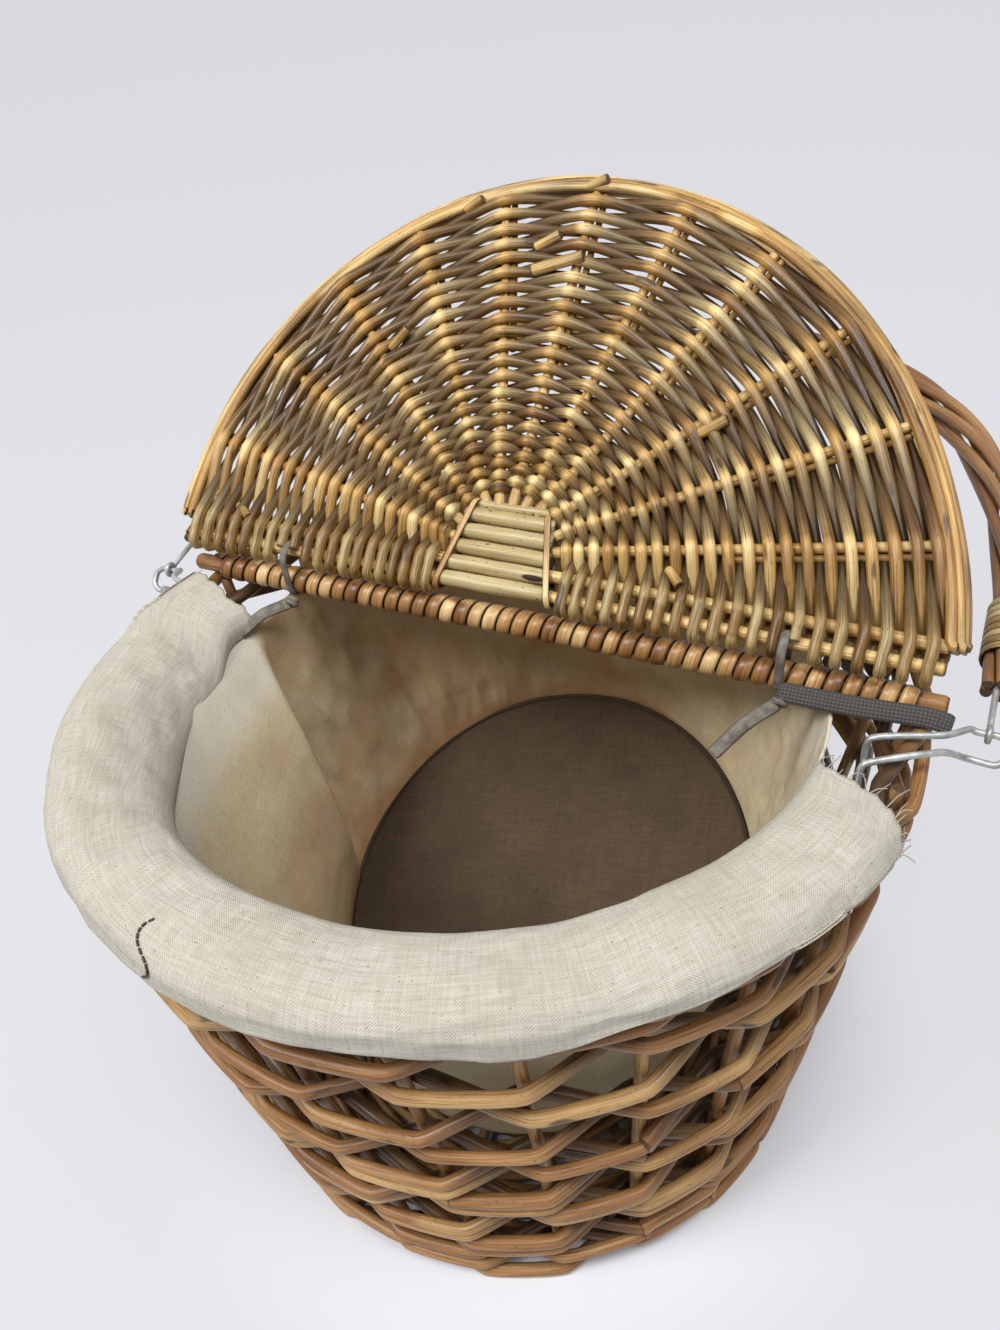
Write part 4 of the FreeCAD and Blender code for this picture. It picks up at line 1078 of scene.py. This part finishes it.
# %% Shape of the bag
BAG_TOP = 248.2
DISC, DISC_REACH = np.array([10.0, 10.0, 99.0]), 121.0
TILT, ROLL = math.radians(23), math.radians(15)
DISC_TURN = (np.array([[math.cos(ROLL), 0, -math.sin(ROLL)], [0, 1, 0],
                       [math.sin(ROLL), 0, math.cos(ROLL)]])
             @ np.array([[1, 0, 0], [0, math.cos(TILT), -math.sin(TILT)],
                         [0, math.sin(TILT), math.cos(TILT)]]))
FOLDS = ((146, -8.0, 16), (262, 4.5, 16), (318, 6, 16), (75, 6.5, 16), (112, 5, 9))
FLAP = 24.0
FLAP_EDGE, FLAP_WIDE = 3.4, 40


def on_disc(flat):
    """Turns places on a level disc into places on the bag's tilted bottom."""
    return flat @ DISC_TURN.T + DISC


def past_ridge(degree, share):
    """Degrees past the edge of the big fold, which stands further front low down."""
    return degree - (170.5 + 15.5 * np.sin(np.clip(1 - share, 0, 1) * 2.2))


def bag_at(angle, share, inset):
    """The bag's wall: share 0 at its tilted bottom seam, 1 at its mouth."""
    level = np.clip(share, 0, 1)
    past = past_ridge(np.degrees(angle), level)
    flap = np.where(past > 0, np.exp(-(past / FLAP_WIDE) ** 4), np.exp(-(past / FLAP_EDGE) ** 2))
    flap = flap * np.sin(math.pi * level) ** 0.8
    angle = angle - 0.05 * flap
    seam = np.stack([np.cos(angle), np.sin(angle), 0 * angle], -1)
    low = on_disc(seam * (DISC_REACH - inset)[..., None])
    degree = np.degrees(angle)
    left = soft_step(degree, 150, 172) * (1 - soft_step(degree, 212, 245))
    high = wall_at(angle, BAG_TOP - 10 * left, -31.0 - inset)
    inward = -wall_at(angle, BAG_TOP + 0 * angle) * (1, 1, 0)
    depth = np.zeros_like(angle)
    for place, strength, spread in FOLDS:
        apart = (angle - math.radians(place) + math.pi) % math.tau - math.pi
        depth += strength * np.exp(-(apart / math.radians(spread)) ** 2)
    depth = depth * np.sin(math.pi * share) + FLAP * flap
    return low + (high - low) * share[..., None] + unit(inward) * depth[..., None]


print("the bag's bottom:", 2 * DISC_REACH, "mm wide, its middle at", DISC.tolist())

# %% [markdown]
# The bag isn't evenly coloured. Its back is brown with mottles, partly stains and partly
# painted shade from the lid, the seam at the bottom is darkest, the side of the flap is stained
# low down and bleached at the mouth, and the right side is whitened all over with painted
# light. Each of these is a soft step in angle or in height.

# %% Bag of the liner
angle, share = np.meshgrid(np.linspace(0, math.tau, 420, endpoint=False),
                           np.linspace(-0.012, 1, 60))
degree, level = np.degrees(angle), np.clip(share, 0, 1)
past = past_ridge(degree, level)
soft = np.clip(np.sin(math.pi * level) * 3, 0, 1)
calm = 1 - soft_step(past, -9, -3) * (past < 90)
gathers = np.stack([np.cos(angle) * 170 + share * 40, np.sin(angle) * 170, share * 45], -1)
push = crease(bag_at(angle, share, 0 * angle)) * soft + crease(gathers, 0.075, 2.6) * soft * calm
outer = bag_at(angle, share, 0.3 + push)
inner = bag_at(angle, share, 1.5 + push)
# The back of the bag is browned with painted shade from the lid, as well as stains.
shaded_back = soft_step(degree, 25, 80) * (1 - soft_step(past, -3.5, -0.5))
mottled = 0.34 + 0.16 * crease(outer, 0.02, 1.6) + 0.1 * crease(outer, 0.06, 1.6)
flap_side = soft_step(past, -2, 1) * (1 - soft_step(degree, 236, 262))
seam_stain = soft_step(degree, 30, 110) * (1 - soft_step(degree, 215, 250))
seam_stain = np.exp(-level / 0.07) * (0.25 + 0.75 * seam_stain)
# The right side is whitened with painted light, where light falls on it.
painted_light = (1 - soft_step(degree, 15, 50) + soft_step(degree, 300, 340)) * level
soil_and_painted_light = (0.06 + mottled * shaded_back + seam_stain * 0.95 + flap_side * 0.55 * (1 - level) ** 1.5
        - 0.75 * painted_light)
soil_and_painted_light = (np.clip(soil_and_painted_light, -1, 1) * (1 - flap_side * soft_step(level, 0.75, 0.95))
        - flap_side * soft_step(level, 0.74, 0.93))
bag, bag_wide, bag_high, bag_area = cloth("liner_bag_cloth", outer, inner, inner_linen,
                                          "liner_bag", True, soil_and_painted_light)

# %% [markdown]
# The bottom is a disc of the same linen, much darker and browner. It is a grid too,
# with rings for rows, and its threads follow the flat cut and not the rings. A rolled seam
# joins it to the bag.

# %% Bottom of the liner
SEAM_INSET, BOTTOM_THICK = 2.4, 1.1
angle, share = np.meshgrid(np.linspace(0, math.tau, 120, endpoint=False),
                           np.linspace(0.0015, 1, 34))
reach = (DISC_REACH - SEAM_INSET) * share
flat = np.stack([np.cos(angle) * reach, np.sin(angle) * reach, 0.4 + 0 * angle], -1)
flat[..., 2] += crease(flat) * np.sin(math.pi * share) * 1.6
under, over = on_disc(flat), on_disc(flat + (0, 0, BOTTOM_THICK))
lowest = soft_step(-0.7 * flat[..., 1] - 0.6 * flat[..., 0], -60, 80)
soil_and_painted_light = 0.24 + 0.3 * lowest + 0.14 * crease(over, 0.03, 1.4)
bottom, _, _, _ = cloth("liner_bottom_cloth", over, under, floor_linen, "liner_bottom", True,
                        soil_and_painted_light, flat)
turn = np.linspace(0, math.tau, 200, endpoint=False)
reach = DISC_REACH - 2.8
ring = np.stack([np.cos(turn) * reach, np.sin(turn) * reach, 1.9 + 0.3 * np.sin(7 * turn)], -1)
seam = rod(on_disc(ring), 1.0 + 0.2 * np.sin(11 * turn), 0.3, closed=True,
           deep=0.4 + 0.4 * np.sin(3 * turn))
weave_mesh("liner_seam", [seam], floor_linen, "basket", ())

# %% [markdown]
# The bag's edge is folded out over the rim and hangs as a soft cuff. A flat band would look
# stiff, so its profile rolls over the rim in one round curve. At the left the cloth is slack
# and slopes down inside, so there the round profile turns into a sloping one. Both are drawn
# from the inside over the top, as (out, level), and end at the hem.

# %% Profile of a cuff
ROUND = np.array([(-34.0, 243.0), (-33.4, 249.0), (-29.5, 254.2), (-21.5, 257.2), (-9.0, 258.4),
                  (1.0, 257.8), (7.6, 255.2), (11.5, 250.6), (12.6, 245.6)])
SLOPE = np.array([(-39.0, 219.0), (-41.2, 228.0), (-37.6, 236.0), (-30.8, 243.3), (-20.0, 251.0),
                  (-8.0, 255.6), (2.5, 256.0), (9.2, 251.4), (11.7, 245.4)])
CREST = 258.2


def cuff_profiles(covered, slope, hem, wave):
    """The cuff's profile at each step along the rim, as (out, level) in rows and columns."""
    grid = []
    for cover, mix, low, sway in zip(covered, slope, hem, wave):
        row = []
        for out, level in ROUND + (SLOPE - ROUND) * mix:
            if out >= 2:
                level = CREST + (max(level, low + 1.5) - CREST) * cover
            row.append((min(out, 6 + 6 * cover), level, 0))
        row.append((6 + (6.6 + 0.5 * sway) * cover, low, 0))
        grid.append(smooth(row, 5, pull=0.45)[:, :2])
    return np.array(grid).transpose(1, 0, 2)


print("the cuff's profile: inside at", ROUND[0].tolist(), "mm, outside at", ROUND[-1].tolist())

# %% [markdown]
# The front cuff goes round the front half of the rim and the rear one round the back. The
# hem waves, and creases push the cloth in and out: long soft ones on the inner side, small
# puckers over the crest. The front cuff's right end is cut at a slant and has frayed.

# %% Cuffs
HEM_TOP, HEM = 258.0, 239.5
CUFF_STEPS = 320
CUFF_THICK = 1.1


def cuff(name, node, start, end, bare_share, seed, front):
    """A cuff from one angle of the rim to another; gives its outer face, and the cloth."""
    t = np.linspace(0, 1, CUFF_STEPS)
    degree = start + (end - start) * t
    along = np.radians(degree)
    covered = soft_step(t, bare_share, bare_share + 0.05) if bare_share else np.ones_like(t)
    wave = np.sin(along * 13 + seed) * 0.6 + np.sin(along * 29 + 1.7 * seed) * 0.4
    rise = np.clip((degree + 58) / 25, 0, 1) * 9 * front
    hem = HEM_TOP - (HEM_TOP - HEM - rise - 0.8 * wave) * covered
    slope = soft_step(-degree, 105, 150) * (1 - 0.8 * soft_step(-degree, 174, 186)) * front
    grid = cuff_profiles(covered, slope, hem, wave)
    rows = grid.shape[0]
    run = np.gradient(grid, axis=0)
    normal = unit(np.stack([run[..., 1], -run[..., 0]], -1))
    down = np.linspace(0, 1, rows)[:, None]
    slant = (6.5 - 14.0 * down + 0.5 * wander(rows, 0.5, 0.7)[:, None]) * front
    ragged = wander(rows, 0.5, 3.0)[:, None] * (1 - soft_step(t, 0, 0.06)) * front
    angle = along[None] + np.radians(slant * soft_step(t, 0.93, 1.0) ** 2 + ragged)

    def place(profile):
        spots = wall_at(angle, np.full(angle.shape, BAG_TOP), profile[..., 0])
        spots[..., 2] = profile[..., 1]
        return spots

    spots = place(grid)
    puckers = np.stack([angle * 60, np.broadcast_to(down * 60, angle.shape) + angle * 25,
                        0 * angle + seed], -1)
    ends = 1 + 1.2 * soft_step(-degree, 150, 185)
    middle = np.clip(np.sin(math.pi * down) * 2.6 - 1.0, 0, 1)
    push = (crease(spots, 0.022, 2.2) * soft_step(down, 0.0, 0.3)
            + crease(puckers, 0.13, 1.0) * ends * middle)
    push = np.minimum(push, 2.6 - 2.0 * soft_step(down, 0.4, 0.7)) * np.clip(covered, 0.1, 1)
    outside = place(grid - normal * push[..., None])
    inside = place(grid - normal * (push[..., None] - CUFF_THICK))
    soil_and_painted_light = np.broadcast_to(0.12 * slope, angle.shape)
    return outside, cloth(name, outside, inside, outer_linen, node, False, soil_and_painted_light)


front_face, (front_cloth, front_wide, front_high, front_area) = cuff(
    "front_cuff_cloth", "front_cuff", -191.0, -5.0, bare_share=0.05, seed=1, front=True)
_, (rear_cloth, rear_wide, rear_high, rear_area) = cuff(
    "rear_cuff_cloth", "rear_cuff", 30.0, 150.0, bare_share=0.0, seed=2, front=False)

# %% [markdown]
# The bottom was cut as a disc, so its area isn't its width by its height, and the cloth
# in all is added up from the areas of the sheets.

# %% Sheets of the liner
across = 2 * (DISC_REACH - SEAM_INSET) * MM
math.pi * across ** 2 / 4
print(f"cloth in all: {bag_area + math.pi * across ** 2 / 4 + front_area + rear_area:.3f} m2")

# %% [markdown]
# At the left the front cuff is mended with a dark running stitch, and its raw right end has
# let go of a few threads. Both are short rods of cloth colour that follow the cuff's face.

# %% Stitches and loose threads
MENDED_COLUMN, LOOSE_THREADS = 151, 26
STITCH_R, THREAD_R = 0.55, 0.24
down = np.linspace(23, front_face.shape[0] - 2, 80)
seam = np.array([front_face[int(r), round(MENDED_COLUMN - 3.0 * math.sin(r * 0.3))] for r in down])
outward = unit(seam * (1, 1, 0)) * 0.5 + (0, 0, 0.3)
seam = smooth(seam[::8] + outward[::8], 12)
stitches = [rod(seam[i:i + 7], STITCH_R, 0.0, sides=6, deep=1.0)
            for i in range(0, len(seam) - 8, 9)]
weave_mesh("cuff_mending_stitches", stitches, brown, "basket", ())
threads = []
for _ in range(LOOSE_THREADS):
    r = chance.randrange(6, front_face.shape[0] - 2)
    begin = front_face[r, -1]
    away = unit(begin - front_face[r, -6]) + [chance.uniform(-0.5, 0.5) for _ in range(3)]
    length = chance.uniform(3, 11)
    bend = np.array([chance.uniform(-2, 2), chance.uniform(-2, 2), -0.25 * length])
    path = smooth([begin - away, begin + away * length * 0.5, begin + away * length + bend], 6)
    threads.append(rod(path, THREAD_R, 0.9, sides=5))
weave_mesh("cuff_loose_threads", threads, outer_linen, "basket", ())

# %% [markdown]
# The set is plain: a pale floor that keeps the shadow. Near the basket the floor is lit like
# anything else. Further out it glows for the camera, so that it stays an even pale grey.

# %% Floor
FLOOR_HALF, FLOOR_Z = 6, -0.0006


def rays(finish):
    """Whether a ray comes straight from the camera, and whether it comes off a shiny thing."""
    outputs = finish.nodes.new("ShaderNodeLightPath").outputs
    return Value(finish, outputs["Is Camera Ray"]), Value(finish, outputs["Is Glossy Ray"])


floor_mesh = bpy.data.meshes.new("floor")
corners = [(x * FLOOR_HALF, y * FLOOR_HALF, 0) for x, y in ((-1, -1), (1, -1), (1, 1), (-1, 1))]
floor_mesh.from_pydata(corners, [], [(0, 1, 2, 3)])
floor = bpy.data.objects.new("floor", floor_mesh)
floor.location.z = FLOOR_Z
bpy.context.scene.collection.objects.link(floor)
ground = Finish(bpy.data.materials.new("pale_floor"))
ground.finish(Base_Color=srgb(224, 225, 230), Roughness=0.8)
camera_ray, glossy_ray = rays(ground)
glow = ground.node("ShaderNodeEmission", {}, {0: srgb(226, 226, 231)})
direct = camera_ray + glossy_ray
spot = ground.node("ShaderNodeTexCoord", output=3)
away = ground.node("ShaderNodeVectorMath", dict(operation="LENGTH"), {0: spot}, output=1)
lit = Value(ground, ground.shader.outputs[0])
mixed = ground.node("ShaderNodeMixShader", {}, {0: direct * away.over(0.12, 0.24) * 0.86,
                                                1: lit, 2: glow})
ground.feed(ground.nodes["Material Output"].inputs[0], mixed)
floor_mesh.materials.append(ground.owner)
print("floor:", 2 * FLOOR_HALF, "m wide")

# %% [markdown]
# A large soft lamp stands in front at the left, as a window would, and another hangs above
# at the right. The sky is nearly white where the camera or a shiny wire sees it, and dimmer
# where it only fills the shadows.

# %% Lamps and sky
def lamp(name, place, target, size, power):
    data = bpy.data.lights.new(name, "AREA")
    data.shape, data.size, data.energy = "DISK", size, power
    light = bpy.data.objects.new(name, data)
    light.location = place
    light.rotation_mode = "QUATERNION"
    light.rotation_quaternion = (Vector(target) - Vector(place)).to_track_quat("-Z", "Y")
    bpy.context.scene.collection.objects.link(light)
    print(name, "lamp:", power, "W")


lamp("window", (-0.75, -1.05, 1.95), (0, 0, 0.15), 0.8, 36)
lamp("ceiling", (0.6, -0.35, 2.2), (0, 0, 0.2), 0.9, 27)
bpy.context.scene.world = bpy.data.worlds.new("plain_sky")
sky = Finish(bpy.context.scene.world, "Background")
sky.finish(Color=(0.78, 0.79, 0.82))
camera_ray, glossy_ray = rays(sky)
either = sky.node("ShaderNodeMath", dict(operation="MAXIMUM"), {0: camera_ray, 1: glossy_ray})
sky.finish(Strength=sky.node("ShaderNodeMapRange", {}, {"Value": either, "To Min": 0.34,
                                                        "To Max": 0.95}))

# %% [markdown]
# The camera stands above and in front of the basket and leans a little to one side. Its lens
# follows from the focal length that was found for the photograph, in pixels of its height.

# %% Camera
FILM = 36
FOCAL_PIXELS, PHOTO_HIGH = 1109.25, 1330
CAMERA_AT = (0.18406, -0.3222, 0.5824)
YAW, PITCH_DOWN, CAMERA_LEAN = (math.radians(v) for v in (28.242, 40.486, -7.258))
camera_data = bpy.data.cameras.new("camera")
camera_data.lens = FILM * FOCAL_PIXELS / PHOTO_HIGH
camera_data.sensor_width = FILM
camera = bpy.data.objects.new("camera", camera_data)
look = Vector((-math.sin(YAW) * math.cos(PITCH_DOWN), math.cos(YAW) * math.cos(PITCH_DOWN),
               -math.sin(PITCH_DOWN)))
level_right = Vector((math.cos(YAW), math.sin(YAW), 0))
level_above = level_right.cross(look)
right = level_right * math.cos(CAMERA_LEAN) + level_above * math.sin(CAMERA_LEAN)
above = level_above * math.cos(CAMERA_LEAN) - level_right * math.sin(CAMERA_LEAN)
turned = Matrix((right, above, -look)).transposed().to_4x4()
camera.matrix_world = Matrix.Translation(CAMERA_AT) @ turned
bpy.context.scene.collection.objects.link(camera)
bpy.context.scene.camera = camera
bpy.context.scene.view_settings.view_transform = "Standard"
print("camera at", tuple(round(v, 3) for v in camera.location))
